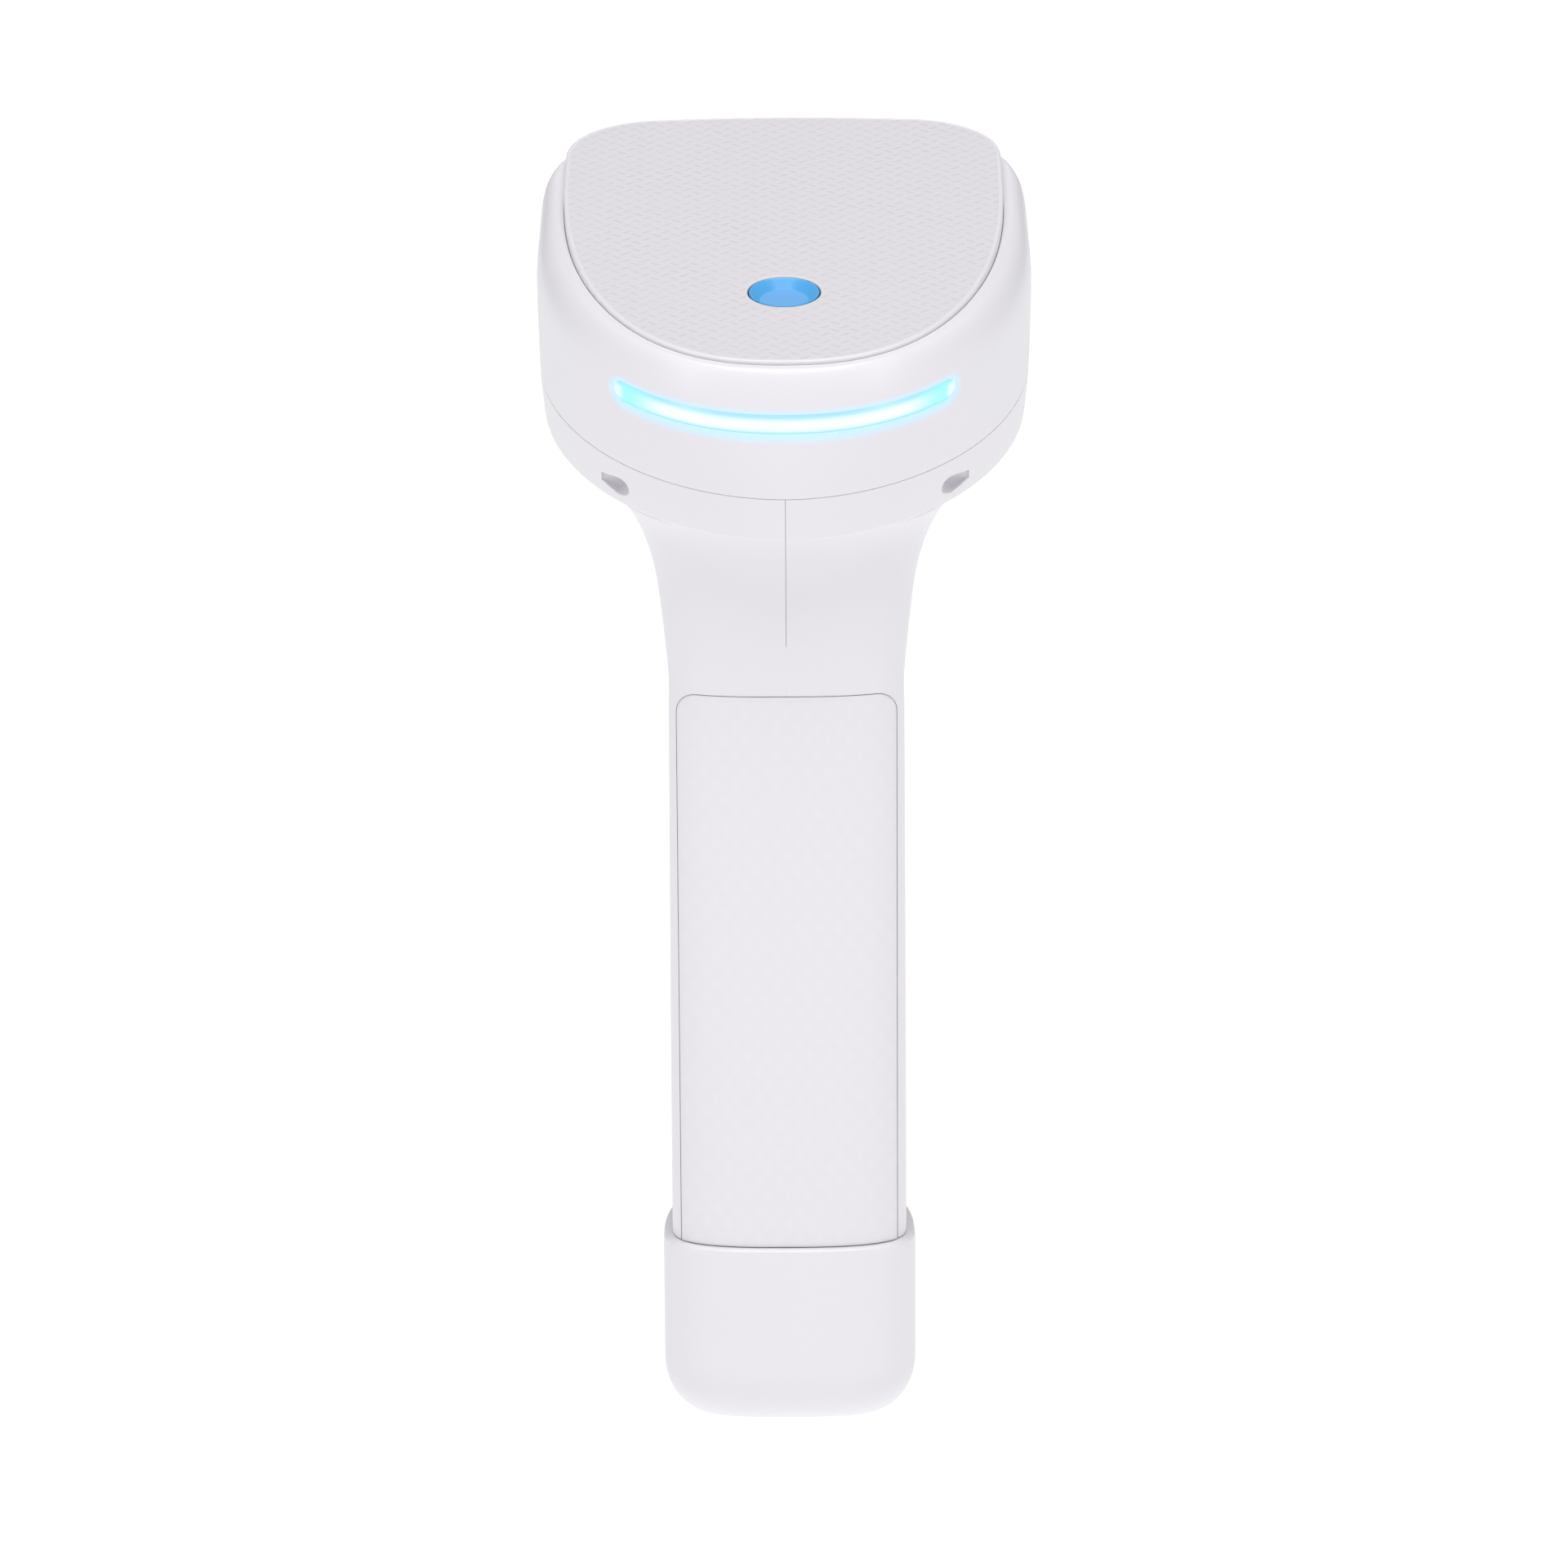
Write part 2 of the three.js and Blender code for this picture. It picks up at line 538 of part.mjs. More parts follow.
function makeLightBar() {
  const levels = [-BAR_DEPTH - 3, -SHOULDER_DEPTH, -6.4, -BAR_DEPTH + 3];
  const ring = cut(headSolid(levels, BAR_RECESS), [headSolid(levels, WALL + 0.6)]);
  return ring.intersect(headPrism(barStadium(-GAP), -BAR_DEPTH, -FAR, 15));
}

function makeLightBarBoard() {
  const levels = [-BAR_DEPTH - 3.2, -BAR_DEPTH + 1.8];
  const beyond = [levels[0] - 1, levels[1] + 1];
  const ring = cut(headSolid(levels, WALL + 2.6), [headSolid(beyond, WALL + 3.6)]);
  return ring.intersect(headBox([-20, -FAR, -FAR], [20, 12, 0]));
}

function makeBarLed(index) {
  const x = (index - (BAR_LED_COUNT - 1) / 2) * BAR_LED_PITCH;
  const { u, angle } = noseAt(x, -BAR_DEPTH, WALL + 1.6);
  const led = new THREE.BoxGeometry(2.8, 1.0, 1.6);
  const place = headPlace(x, u, -BAR_DEPTH).multiply(new THREE.Matrix4().makeRotationZ(angle));
  return solid(led, place);
}

// ---- Window and imager ----
const WINDOW_FACE_U = PLATE_LENGTH + FRONT_SWELL - 1.2;

function makeWindowBezel() {
  const outline = roundedRectangle(WINDOW_HALF_WIDTH - GAP, WINDOW_HEIGHT / 2 - GAP, WINDOW_CORNER - GAP);
  const hole = roundedRectangle(
    WINDOW_HALF_WIDTH - WINDOW_FRAME,
    WINDOW_HEIGHT / 2 - WINDOW_FRAME,
    WINDOW_CORNER - 1.2,
  );
  const block = headPrism(outline, -WINDOW_DEPTH, WINDOW_FACE_U - 4, WINDOW_FACE_U + 2);
  const flush = headSolid([-WINDOW_DEPTH - 8, -SHOULDER_DEPTH, -4], GAP);
  return cut(block, [headPrism(hole, -WINDOW_DEPTH, WINDOW_FACE_U - 5, WINDOW_FACE_U + 3)]).intersect(flush);
}

function makeScanWindow() {
  const pane = roundedRectangle(
    WINDOW_HALF_WIDTH - WINDOW_FRAME - GAP,
    WINDOW_HEIGHT / 2 - WINDOW_FRAME - GAP,
    WINDOW_CORNER - 1.5,
  );
  return headPrism(pane, -WINDOW_DEPTH, WINDOW_FACE_U - 1.2 - PANE_THICKNESS, WINDOW_FACE_U - 1.2);
}

const ENGINE_FRONT_U = WINDOW_FACE_U - 7;
const ENGINE_LENGTH = 12;
const ENGINE_HALF_WIDTH = 11;
const ENGINE_BOARD_HALF_HEIGHT = WINDOW_DEPTH + CEILING - GAP;
const ENGINE_HALF_HEIGHT = ENGINE_BOARD_HALF_HEIGHT - 0.2;
const LENS_BORE_RADIUS = ENGINE_HALF_HEIGHT - 0.8;
const LENS_BORE_DEPTH = 6;

function makeImagerHousing() {
  const body = headBox(
    [-ENGINE_HALF_WIDTH, ENGINE_FRONT_U - ENGINE_LENGTH, -WINDOW_DEPTH - ENGINE_HALF_HEIGHT],
    [ENGINE_HALF_WIDTH, ENGINE_FRONT_U, -WINDOW_DEPTH + ENGINE_HALF_HEIGHT],
  );
  const bore = circle(LENS_BORE_RADIUS);
  return cut(body, [headPrism(bore, -WINDOW_DEPTH, ENGINE_FRONT_U - LENS_BORE_DEPTH, ENGINE_FRONT_U + 1)]);
}

function circle(radius) {
  const shape = new THREE.Shape();
  shape.absarc(0, 0, radius, 0, 2 * Math.PI);
  return shape;
}

const makeImagerLens = () =>
  headPrism(
    circle(LENS_BORE_RADIUS - GAP),
    -WINDOW_DEPTH,
    ENGINE_FRONT_U - LENS_BORE_DEPTH + GAP,
    ENGINE_FRONT_U + 1.5,
  );

const makeEngineBoard = () => {
  const face = ENGINE_FRONT_U - ENGINE_LENGTH - GAP;
  return headBox(
    [-ENGINE_HALF_WIDTH - 1.5, face - 1.2, -WINDOW_DEPTH - ENGINE_BOARD_HALF_HEIGHT],
    [ENGINE_HALF_WIDTH + 1.5, face, -WINDOW_DEPTH + ENGINE_BOARD_HALF_HEIGHT],
  );
};

const makeEngineLed = (x) =>
  headBox(
    [x - 1.8, ENGINE_FRONT_U + GAP, -WINDOW_DEPTH - 1.8],
    [x + 1.8, ENGINE_FRONT_U + GAP + 1.6, -WINDOW_DEPTH + 1.8],
  );

// ---- Boards and what stands on them ----
const BOARD_TOP = -MAIN_BOARD_DEPTH;

const makeMainBoard = () =>
  headBox(
    [-MAIN_BOARD_HALF_WIDTH, MAIN_BOARD_START_U, BOARD_TOP - BOARD],
    [MAIN_BOARD_HALF_WIDTH, MAIN_BOARD_START_U + MAIN_BOARD_LENGTH, BOARD_TOP],
  );

const makeShieldCan = () => headBox([-10, 34, BOARD_TOP + GAP], [10, 52, BOARD_TOP + 2.6]);
const makeBeeper = () => headBar(-16, 55, BOARD_TOP + GAP, BOARD_TOP + 4.2, 4.6);
const makeVibrationMotor = () => headBar(16, 55, BOARD_TOP + GAP, BOARD_TOP + 3.2, 5.0);
const makeRadioAntenna = () => headBox([12, 16, BOARD_TOP + GAP], [20, 19, BOARD_TOP + 1.6]);
const makeButtonSwitch = () =>
  headBox([-3, BUTTON_U - 3, BOARD_TOP + GAP], [3, BUTTON_U + 3, BOARD_TOP + 2.6]);
const makeButtonPlunger = () =>
  headBar(0, BUTTON_U, BOARD_TOP + 2.6 + BUTTON_TRAVEL + 0.1, BOARD_TOP + 4.3, 1.4, 16);

// ---- Left and right shells ----
function slotCut(side) {
  const half = SLOT_HEIGHT / 2;
  const profile = new THREE.Shape();
  profile.moveTo(-FAR / 4, -half);
  profile.lineTo(SLOT_FLOOR_U - half, -half);
  profile.absarc(SLOT_FLOOR_U - half, 0, half, -Math.PI / 2, Math.PI / 2);
  profile.lineTo(-FAR / 4, half);
  profile.closePath();
  const bore = new THREE.ExtrudeGeometry(profile, { depth: FAR / 4, bevelEnabled: false, curveSegments: 5 });
  const from = side > 0 ? SLOT_INNER_X : -SLOT_INNER_X - FAR / 4;
  return solid(bore, headPlace(from, 0, -SLOT_DEPTH).multiply(sideOn));
}

function slotPocket(side, outer) {
  const near = side * (SLOT_INNER_X - 1.8);
  const far = side * FAR;
  const block = headBox(
    [Math.min(near, far), -FAR, -SLOT_DEPTH - SLOT_HEIGHT / 2 - 1.5],
    [Math.max(near, far), SLOT_FLOOR_U + 1.8, SHELL_TOP],
  );
  return block.intersect(outer);
}

function makeShells() {
  const lowerHead = solid(loft(LOWER_LEVELS.map((w, i) => headRing(w, LOWER_INSETS[i]))));
  const headHollow = headSolid([-HEAD_DEPTH + WALL, -22, SHELL_TOP + 1], WALL);
  const handle = handleSolid(FOOT_HEIGHT + GAP, 0, 1.5);
  const handleHollow = handleSolid(FOOT_HEIGHT - 1, WALL, 4.5);
  const outer = join([lowerHead, handle]);
  const hollow = join([headHollow, handleHollow]);
  const coverBosses = COVER_SCREWS.map(({ x, u }) => headBar(x, u, -HEAD_DEPTH + 0.2, SHELL_TOP, BOSS_RADIUS, 12));
  const coverHoles = COVER_SCREWS.flatMap(({ x, u }) => [
    headBar(x, u, -FAR, SHELL_TOP - 3.6, SCREW_HEAD_RADIUS + GAP, 14),
    headBar(x, u, -FAR, SHELL_TOP + 1, SCREW_RADIUS + GAP, 10),
  ]);
  const crossBosses = SHELL_SCREWS.map(({ z }) => barX(-FAR, FAR, SHELL_SCREW_Y, z, BOSS_RADIUS, 12));
  const crossHoles = SHELL_SCREWS.flatMap(({ z }) => [
    barX(-FAR, -6.2, SHELL_SCREW_Y, z, SCREW_HEAD_RADIUS + GAP, 14),
    barX(-7, 6, SHELL_SCREW_Y, z, SCREW_RADIUS + 0.1, 10),
  ]);
  const pivotInner = TRIGGER_HALF_WIDTH + TRIGGER_SIDE_GAP;
  const pivotBosses = [-1, 1].map((side) =>
    barX(Math.min(side * pivotInner, side * FAR), Math.max(side * pivotInner, side * FAR), PIVOT_Y, PIVOT_Z, 2.8, 12),
  );
  const springShelf = box(
    [-FAR, SPRING_BACK_Y - 1.8, SPRING_Z - 3.4],
    [FAR, SPRING_BACK_Y, SPRING_Z + 3.4],
  );
  const pinBore = barX(-PIN_HALF - GAP, PIN_HALF + GAP, PIVOT_Y, PIVOT_Z, TRIGGER_PIN_RADIUS + RUN, 20);
  const inside = [...coverBosses, ...crossBosses, ...pivotBosses, springShelf].map((rib) => rib.intersect(outer));
  const pockets = [-1, 1].map((side) => slotPocket(side, lowerHead));
  const opened = cut(outer, [hollow, triggerOpening()]);
  const ribbed = join([opened, ...inside, ...pockets]);
  const body = cut(ribbed, [
    ...coverHoles,
    ...crossHoles,
    pinBore,
    panelRecess(),
    slotCut(-1),
    slotCut(1),
  ]);
  const half = (x0, x1) => body.intersect(box([x0, -FAR, -FAR], [x1, FAR, 2 * FAR]));
  return { left: half(-FAR, -GAP / 2), right: half(GAP / 2, FAR) };
}

// ---- Grip panel, which lies in a recess on the palm side ----
function panelPrism(grow) {
  const halfHeight = (PANEL_LENGTH - GAP) / 2;
  const shape = roundedRectangle(PANEL_HALF_WIDTH + grow, halfHeight + grow, PANEL_CORNER + grow);
  const prism = new THREE.ExtrudeGeometry(shape, { depth: FAR / 2, bevelEnabled: false, curveSegments: 4 });
  prism.rotateX(Math.PI / 2).translate(0, WIDEST_Y - 3.2, FOOT_HEIGHT + GAP + halfHeight);
  return solid(prism);
}

const panelLayer = (from, to) =>
  cut(handleSolid(FOOT_HEIGHT - 3, -from, 1), [handleSolid(FOOT_HEIGHT - 5, to, 2)]);

function panelRecess() {
  const open = panelPrism(GAP / 2).add(panelBand());
  return open.intersect(panelLayer(3, PANEL_THICKNESS));
}

// The recess runs out through the handle's lower end.
const panelBand = () =>
  box(
    [-PANEL_HALF_WIDTH - GAP / 2, -FAR, FOOT_HEIGHT - 5],
    [PANEL_HALF_WIDTH + GAP / 2, WIDEST_Y - 3.2, FOOT_HEIGHT + PANEL_CORNER + 2],
  );

function makeGripPanel() {
  const edge = PANEL_HALF_WIDTH - GAP / 2;
  const foot = box([-edge, -FAR, FOOT_HEIGHT + GAP], [edge, WIDEST_Y - 3.2, FOOT_HEIGHT + PANEL_CORNER + 2]);
  return panelPrism(-GAP / 2).add(foot).intersect(panelLayer(PANEL_PROUD, PANEL_THICKNESS - GAP));
}

// ---- Trigger, pin and spring ----
const SPRING_WIRE = 0.35;
const SPRING_COIL = 2.2;
const SPRING_TURNS = 4;

function makeTrigger() {
  const body = sidePrism(triggerProfile(), TRIGGER_HALF_WIDTH, 0.9);
  return cut(body, [barX(-FAR, FAR, PIVOT_Y, PIVOT_Z, TRIGGER_PIN_RADIUS + RUN, 24)]);
}

const makeTriggerPin = () => barX(-PIN_HALF, PIN_HALF, PIVOT_Y, PIVOT_Z, TRIGGER_PIN_RADIUS, 20);

class Helix extends THREE.Curve {
  getPoint(t, target = new THREE.Vector3()) {
    const angle = 2 * Math.PI * SPRING_TURNS * t;
    const tip = triggerBackY(SPRING_Z - SPRING_COIL) - GAP - SPRING_WIRE;
    const y = mix(SPRING_BACK_Y + GAP + SPRING_WIRE, tip, t);
    return target.set(SPRING_COIL * Math.cos(angle), y, SPRING_Z + SPRING_COIL * Math.sin(angle));
  }
}

function makeTriggerSpring() {
  const section = new THREE.Shape();
  for (let i = 0; i < 5; i++) {
    const angle = (2 * i * Math.PI) / 5;
    section[i ? "lineTo" : "moveTo"](SPRING_WIRE * Math.cos(angle), SPRING_WIRE * Math.sin(angle));
  }
  const path = new Helix();
  const wire = new THREE.ExtrudeGeometry(section, { steps: 10 * SPRING_TURNS, extrudePath: path });
  return solid(wire);
}

const PLUNGER_TIP_Y = triggerBackY(SWITCH_Z - 1.1) - 0.15;
const makeTriggerPlunger = () => barY(0, PLUNGER_TIP_Y - 1.8, PLUNGER_TIP_Y, SWITCH_Z, 1.1, 16);
const makeTriggerSwitch = () => box([-3, PLUNGER_TIP_Y - 7.4, SWITCH_Z - 3], [3, PLUNGER_TIP_Y - 3.3, SWITCH_Z + 3]);
const makeTriggerBoard = () => {
  const back = PLUNGER_TIP_Y - 7.4 - GAP;
  return box([-7, back - BOARD, SWITCH_Z - 4.5], [7, back, SWITCH_Z + 5]);
};

// ---- Foot, battery pack and seal ----
const SEAL_Z = FOOT_HEIGHT + SPIGOT_HEIGHT * 0.55;
const SEAL_HALF = 0.9;
const CELL_Z = FOOT_FLOOR + 3.2;
const CARRIER_BOTTOM = FOOT_FLOOR + GAP;
const CARRIER_TOP = CELL_Z + CELL_LENGTH + 2.2;

function makeFoot() {
  const levels = [0, 0.5, 1.5, 3.2, 5.6, FOOT_CORNER_HEIGHT, FOOT_HEIGHT - 0.8, FOOT_HEIGHT];
  const roundIn = (z) => {
    const left = Math.max(0, (FOOT_CORNER_HEIGHT - z) / FOOT_CORNER_HEIGHT);
    const rim = Math.max(0, (z - FOOT_HEIGHT + 0.8) / 0.8);
    return FOOT_CORNER * (1 - Math.sqrt(1 - left * left)) + 0.6 * rim * rim;
  };
  const outer = solid(loft(levels.map((z) => levelRing(z, roundIn(z) - FOOT_STEP))));
  const shelfZ = FOOT_HEIGHT - WALL;
  const bay = solid(
    loft([
      levelRing(FOOT_FLOOR, WALL + 3 - FOOT_STEP),
      levelRing(FOOT_FLOOR + 3.5, WALL + 0.8 - FOOT_STEP),
      levelRing(FOOT_CORNER_HEIGHT + 3, WALL - FOOT_STEP),
      levelRing(shelfZ, WALL - FOOT_STEP),
    ]),
  );
  const spigotTop = FOOT_HEIGHT + SPIGOT_HEIGHT;
  const spigot = solid(loft([levelRing(shelfZ, SPIGOT_INSET), levelRing(spigotTop, SPIGOT_INSET)]));
  const throat = solid(
    loft([levelRing(shelfZ - 1, SPIGOT_INSET + SPIGOT_WALL), levelRing(spigotTop + 1, SPIGOT_INSET + SPIGOT_WALL)]),
  );
  const groove = sealRing(SPIGOT_INSET - 1, SPIGOT_INSET + 0.7, SEAL_HALF + GAP);
  const carrierRoom = barZ(0, CELL_Y, FOOT_FLOOR, spigotTop + 1, CARRIER_RADIUS + GAP, 28);
  const pads = [-1, 1].map((side) => chargePad(side, GAP));
  return cut(join([outer, spigot]), [bay, throat, carrierRoom, groove, ...pads]);
}

function sealRing(outerInset, innerInset, half) {
  const slab = solid(loft([levelRing(SEAL_Z - half, outerInset), levelRing(SEAL_Z + half, outerInset)]));
  const core = solid(loft([levelRing(SEAL_Z - 9, innerInset), levelRing(SEAL_Z + 9, innerInset)]));
  return cut(slab, [core]);
}

const makeSeal = () => sealRing(WALL + 0.12, SPIGOT_INSET + 0.4, SEAL_HALF);

const chargePad = (side, grow) => barZ(side * 5, 7, 0.3 - 4 * grow, 1.2 + grow, 1.9 + grow, 20);

function makeCell() {
  const r = CELL_RADIUS;
  const top = CELL_Z + CELL_LENGTH;
  const outline = [
    [0, CELL_Z],
    [r - 0.5, CELL_Z],
    [r, CELL_Z + 0.5],
    [r, top - 4.5],
    [r - 0.6, top - 4],
    [r - 0.6, top - 3.4],
    [r, top - 2.9],
    [r, top - 1.4],
    [r - 0.5, top - 0.9],
    [3.4, top - 0.9],
    [3.4, top],
    [0, top],
  ];
  const profile = outline.map(([x, z]) => new THREE.Vector2(x, z));
  const turned = new THREE.LatheGeometry(profile, 20).rotateX(Math.PI / 2);
  return solid(turned.translate(0, CELL_Y, 0));
}

// An open-fronted cradle round the cell with a floor and a contact shelf.
function makeCarrier() {
  const inner = CELL_RADIUS + GAP;
  const tube = barZ(0, CELL_Y, CARRIER_BOTTOM, CARRIER_TOP, CARRIER_RADIUS, 28);
  const bore = barZ(0, CELL_Y, CELL_Z - GAP, CELL_Z + CELL_LENGTH + GAP, inner, 28);
  const mouth = box(
    [-inner * 0.8, CELL_Y + 2, CELL_Z + 8],
    [inner * 0.8, CELL_Y + FAR, CELL_Z + CELL_LENGTH - 8],
  );
  return cut(tube, [bore, mouth]);
}

const makePackPad = (side) =>
  box(
    [side * CONTACT_HALF_PITCH - 2, CELL_Y - 2.5, CARRIER_TOP + GAP],
    [side * CONTACT_HALF_PITCH + 2, CELL_Y + 2.5, CARRIER_TOP + GAP + 0.6],
  );

const PIN_BOTTOM = CARRIER_TOP + 2 * GAP + 0.6;
const makeContactPin = (side) => barZ(side * CONTACT_HALF_PITCH, CELL_Y, PIN_BOTTOM, PIN_BOTTOM + 2.4, 0.8, 12);
const makeContactBlock = () =>
  box([-10.5, CELL_Y - 3.4, PIN_BOTTOM + 2.4 + GAP], [10.5, CELL_Y + 3.4, PIN_BOTTOM + 8]);

// ---- Screws ----
function makeCoverScrew({ x, u }) {
  const headTop = SHELL_TOP - 3.6 - GAP;
  const head = headBar(x, u, headTop - SCREW_HEAD_HEIGHT, headTop, SCREW_HEAD_RADIUS, 14);
  const shank = headBar(x, u, headTop - 0.5, COVER_BOTTOM + 7, SCREW_RADIUS - 0.1, 10);
  return head.add(shank);
}

function makeShellScrew({ z }) {
  const headEnd = -6.2 - GAP;
  const head = barX(headEnd - SCREW_HEAD_HEIGHT, headEnd, SHELL_SCREW_Y, z, SCREW_HEAD_RADIUS, 14);
  const shank = barX(headEnd - 0.5, 5.2, SHELL_SCREW_Y, z, SCREW_RADIUS - 0.1, 10);
  return head.add(shank);
}

// ---- Assembly ----
const group = new THREE.Group();

function add(name, manifold, material) {
  const mesh = new THREE.Mesh(geometryOf(manifold), material);
  mesh.name = name;
  group.add(mesh);
}

const shells = makeShells();
add("head_top_cover", makeCover(), SHELL_WHITE);
add("top_grip_plate", makeTopPlate(), PLATE_GREY);
add("function_button", makeButton(), BUTTON_BLUE);
add("light_bar_lens", makeLightBar(), BAR_CYAN);
add("left_shell", shells.left, SHELL_WHITE);
add("right_shell", shells.right, SHELL_WHITE);
add("grip_panel", makeGripPanel(), PANEL_GREY);
add("pack_foot", makeFoot(), SHELL_WHITE);
add("pack_seal", makeSeal(), SEAL_BLACK);
add("window_bezel", makeWindowBezel(), DARK_PLASTIC);
add("scan_window", makeScanWindow(), WINDOW_CLEAR);
add("trigger", makeTrigger(), TRIGGER_GREY);
add("trigger_pin", makeTriggerPin(), STEEL);
add("trigger_spring", makeTriggerSpring(), STEEL);
add("trigger_switch", makeTriggerSwitch(), DARK_PLASTIC);
add("trigger_switch_plunger", makeTriggerPlunger(), DARK_PLASTIC);
add("trigger_board", makeTriggerBoard(), BOARD_GREEN);
add("main_board", makeMainBoard(), BOARD_GREEN);
add("shield_can", makeShieldCan(), STEEL);
add("beeper", makeBeeper(), DARK_PLASTIC);
add("vibration_motor", makeVibrationMotor(), STEEL);
add("radio_antenna", makeRadioAntenna(), CERAMIC);
add("button_switch", makeButtonSwitch(), DARK_PLASTIC);
add("button_switch_plunger", makeButtonPlunger(), DARK_PLASTIC);
add("light_bar_board", makeLightBarBoard(), BOARD_GREEN);
for (let i = 0; i < BAR_LED_COUNT; i++) add(`light_bar_led_${i + 1}`, makeBarLed(i), LED_WHITE);
add("imager_housing", makeImagerHousing(), DARK_PLASTIC);
add("imager_lens", makeImagerLens(), LENS_GLASS);
add("imager_board", makeEngineBoard(), BOARD_GREEN);
add("aimer_led", makeEngineLed(6.5), LED_WHITE);
add("illumination_led_left", makeEngineLed(-8), LED_WHITE);
add("illumination_led_right", makeEngineLed(15), LED_WHITE);
add("battery_carrier", makeCarrier(), DARK_PLASTIC);
add("battery_cell", makeCell(), CELL_GREEN);
add("pack_contact_block", makeContactBlock(), DARK_PLASTIC);
for (const [side, word] of [[-1, "left"], [1, "right"]]) {
  add(`pack_pad_${word}`, makePackPad(side), GOLD);
  add(`contact_pin_${word}`, makeContactPin(side), GOLD);
  add(`charge_pad_${word}`, chargePad(side, 0), GOLD);
}
for (const screw of COVER_SCREWS) add(screw.name, makeCoverScrew(screw), STEEL);
for (const screw of SHELL_SCREWS) add(screw.name, makeShellScrew(screw), STEEL);

export default group;
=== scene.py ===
"""Cordless handheld barcode scanner: the pieces that show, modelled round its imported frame."""
import math
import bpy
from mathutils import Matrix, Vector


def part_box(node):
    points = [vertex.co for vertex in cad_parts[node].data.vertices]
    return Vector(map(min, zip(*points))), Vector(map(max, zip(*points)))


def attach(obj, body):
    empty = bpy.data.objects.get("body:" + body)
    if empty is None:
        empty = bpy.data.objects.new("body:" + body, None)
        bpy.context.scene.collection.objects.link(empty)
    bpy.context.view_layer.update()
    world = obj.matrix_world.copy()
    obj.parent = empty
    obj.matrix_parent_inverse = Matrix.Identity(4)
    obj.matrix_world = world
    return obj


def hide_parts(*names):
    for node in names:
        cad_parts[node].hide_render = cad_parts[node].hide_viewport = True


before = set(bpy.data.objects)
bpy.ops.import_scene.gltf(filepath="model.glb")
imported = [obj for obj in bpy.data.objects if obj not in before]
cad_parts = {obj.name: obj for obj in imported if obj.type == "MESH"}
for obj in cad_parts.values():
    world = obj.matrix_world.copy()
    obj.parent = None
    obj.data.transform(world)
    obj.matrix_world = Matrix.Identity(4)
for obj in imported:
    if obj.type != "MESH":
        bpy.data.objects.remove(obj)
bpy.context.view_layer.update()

from types import SimpleNamespace

import bmesh
import bpy
from bpy.props import FloatProperty, FloatVectorProperty, PointerProperty
from mathutils import Matrix, Vector

bl_info = {
    "name": "Handheld Barcode Scanner",
    "version": (1, 0, 0),
    "blender": (4, 5, 0),
    "location": "View3D > Sidebar > Scanner",
    "description": "Builds a cordless handheld barcode scanner, piece by piece",
    "category": "Add Mesh",
}


# ---- Colours and sizes ----


def linear(colour):
    """A colour written as sRGB hex, as linear red, green and blue."""
    channels = [(colour >> shift & 255) / 255 for shift in (16, 8, 0)]
    return [c / 12.92 if c <= 0.04045 else ((c + 0.055) / 1.055) ** 2.4 for c in channels]


def length(name, millimetres, description):
    """A length that the sidebar shows, with its default given in millimetres."""
    return FloatProperty(
        name=name,
        description=description,
        default=millimetres * 0.001,
        precision=5,
        unit="LENGTH",
        subtype="DISTANCE",
    )


def tint(name, colour, description):
    """A colour that the sidebar shows."""
    return FloatVectorProperty(
        name=name,
        description=description,
        default=linear(colour),
        size=3,
        min=0.0,
        max=1.0,
        subtype="COLOR",
    )


class ScannerHeadSizes(bpy.types.PropertyGroup):
    """Sizes of the head, measured along and square to its tilted top."""

    tilt: FloatProperty(
        name="Tilt",
        description="How far the nose points up",
        default=math.radians(16),
        unit="ROTATION",
        subtype="ANGLE",
    )
    half_width: length("Top half width", 32.0, "Half the width of the top plate")
    plate_length: length("Top length", 85.6, "Length of the top plate")
    shoulder: length("Shoulder", 3.8, "How far the sides swell out of the top's outline")
    front_swell: length("Front swell", 1.4, "The same, over the scan window")
    shoulder_depth: length("Shoulder depth", 9.5, "Depth at which the head is widest")
    rim_drop: length("Rim drop", 1.3, "Depth of the cover's rim below the top plate")
    cover_depth: length("Cover depth", 19.0, "Depth of the parting line")
    depth: length("Head depth", 26.0, "Depth of the underside")
    overhang: length("Overhang", 22.1, "How far the top reaches behind the handle's widest line")
    corner: length("Front corner", 14.0, "Radius of the top's front corners")
    corner_swell: length("Corner swell", 6.0, "How much rounder the corners are at the shoulder")
    plate: length("Plate thickness", 2.6, "Thickness of the top plate")
    gap: length("Gap", 0.3, "Gap between two pieces that meet")
    wall: length("Wall", 2.2, "Wall of the moulded shells")
    button_place: length("Button place", 23.0, "Middle of the button, from the top's rear edge")
    button: length("Button radius", 4.95, "Radius of the button")
    bar_half_span: length("Light bar half span", 23.6, "Half the length of the light bar's slot")
    bar_height: length("Light bar height", 3.0, "Height of the light bar's slot")
    bar_depth: length("Light bar depth", 7.9, "Depth of the light bar's middle line")
    bar_recess: length("Light bar recess", 0.5, "How far the light bar lies under the surface")
    slot_height: length("Lanyard slot height", 3.2, "Height of a lanyard slot")
    slot_depth: length("Lanyard slot depth", 23.1, "Depth of a lanyard slot's middle line")
    slot_inner: length("Lanyard slot place", 21.7, "Inner end of a lanyard slot, from the middle")
    slot_floor: length("Lanyard slot floor", 12.2, "Floor of a lanyard slot, from the top's rear edge")


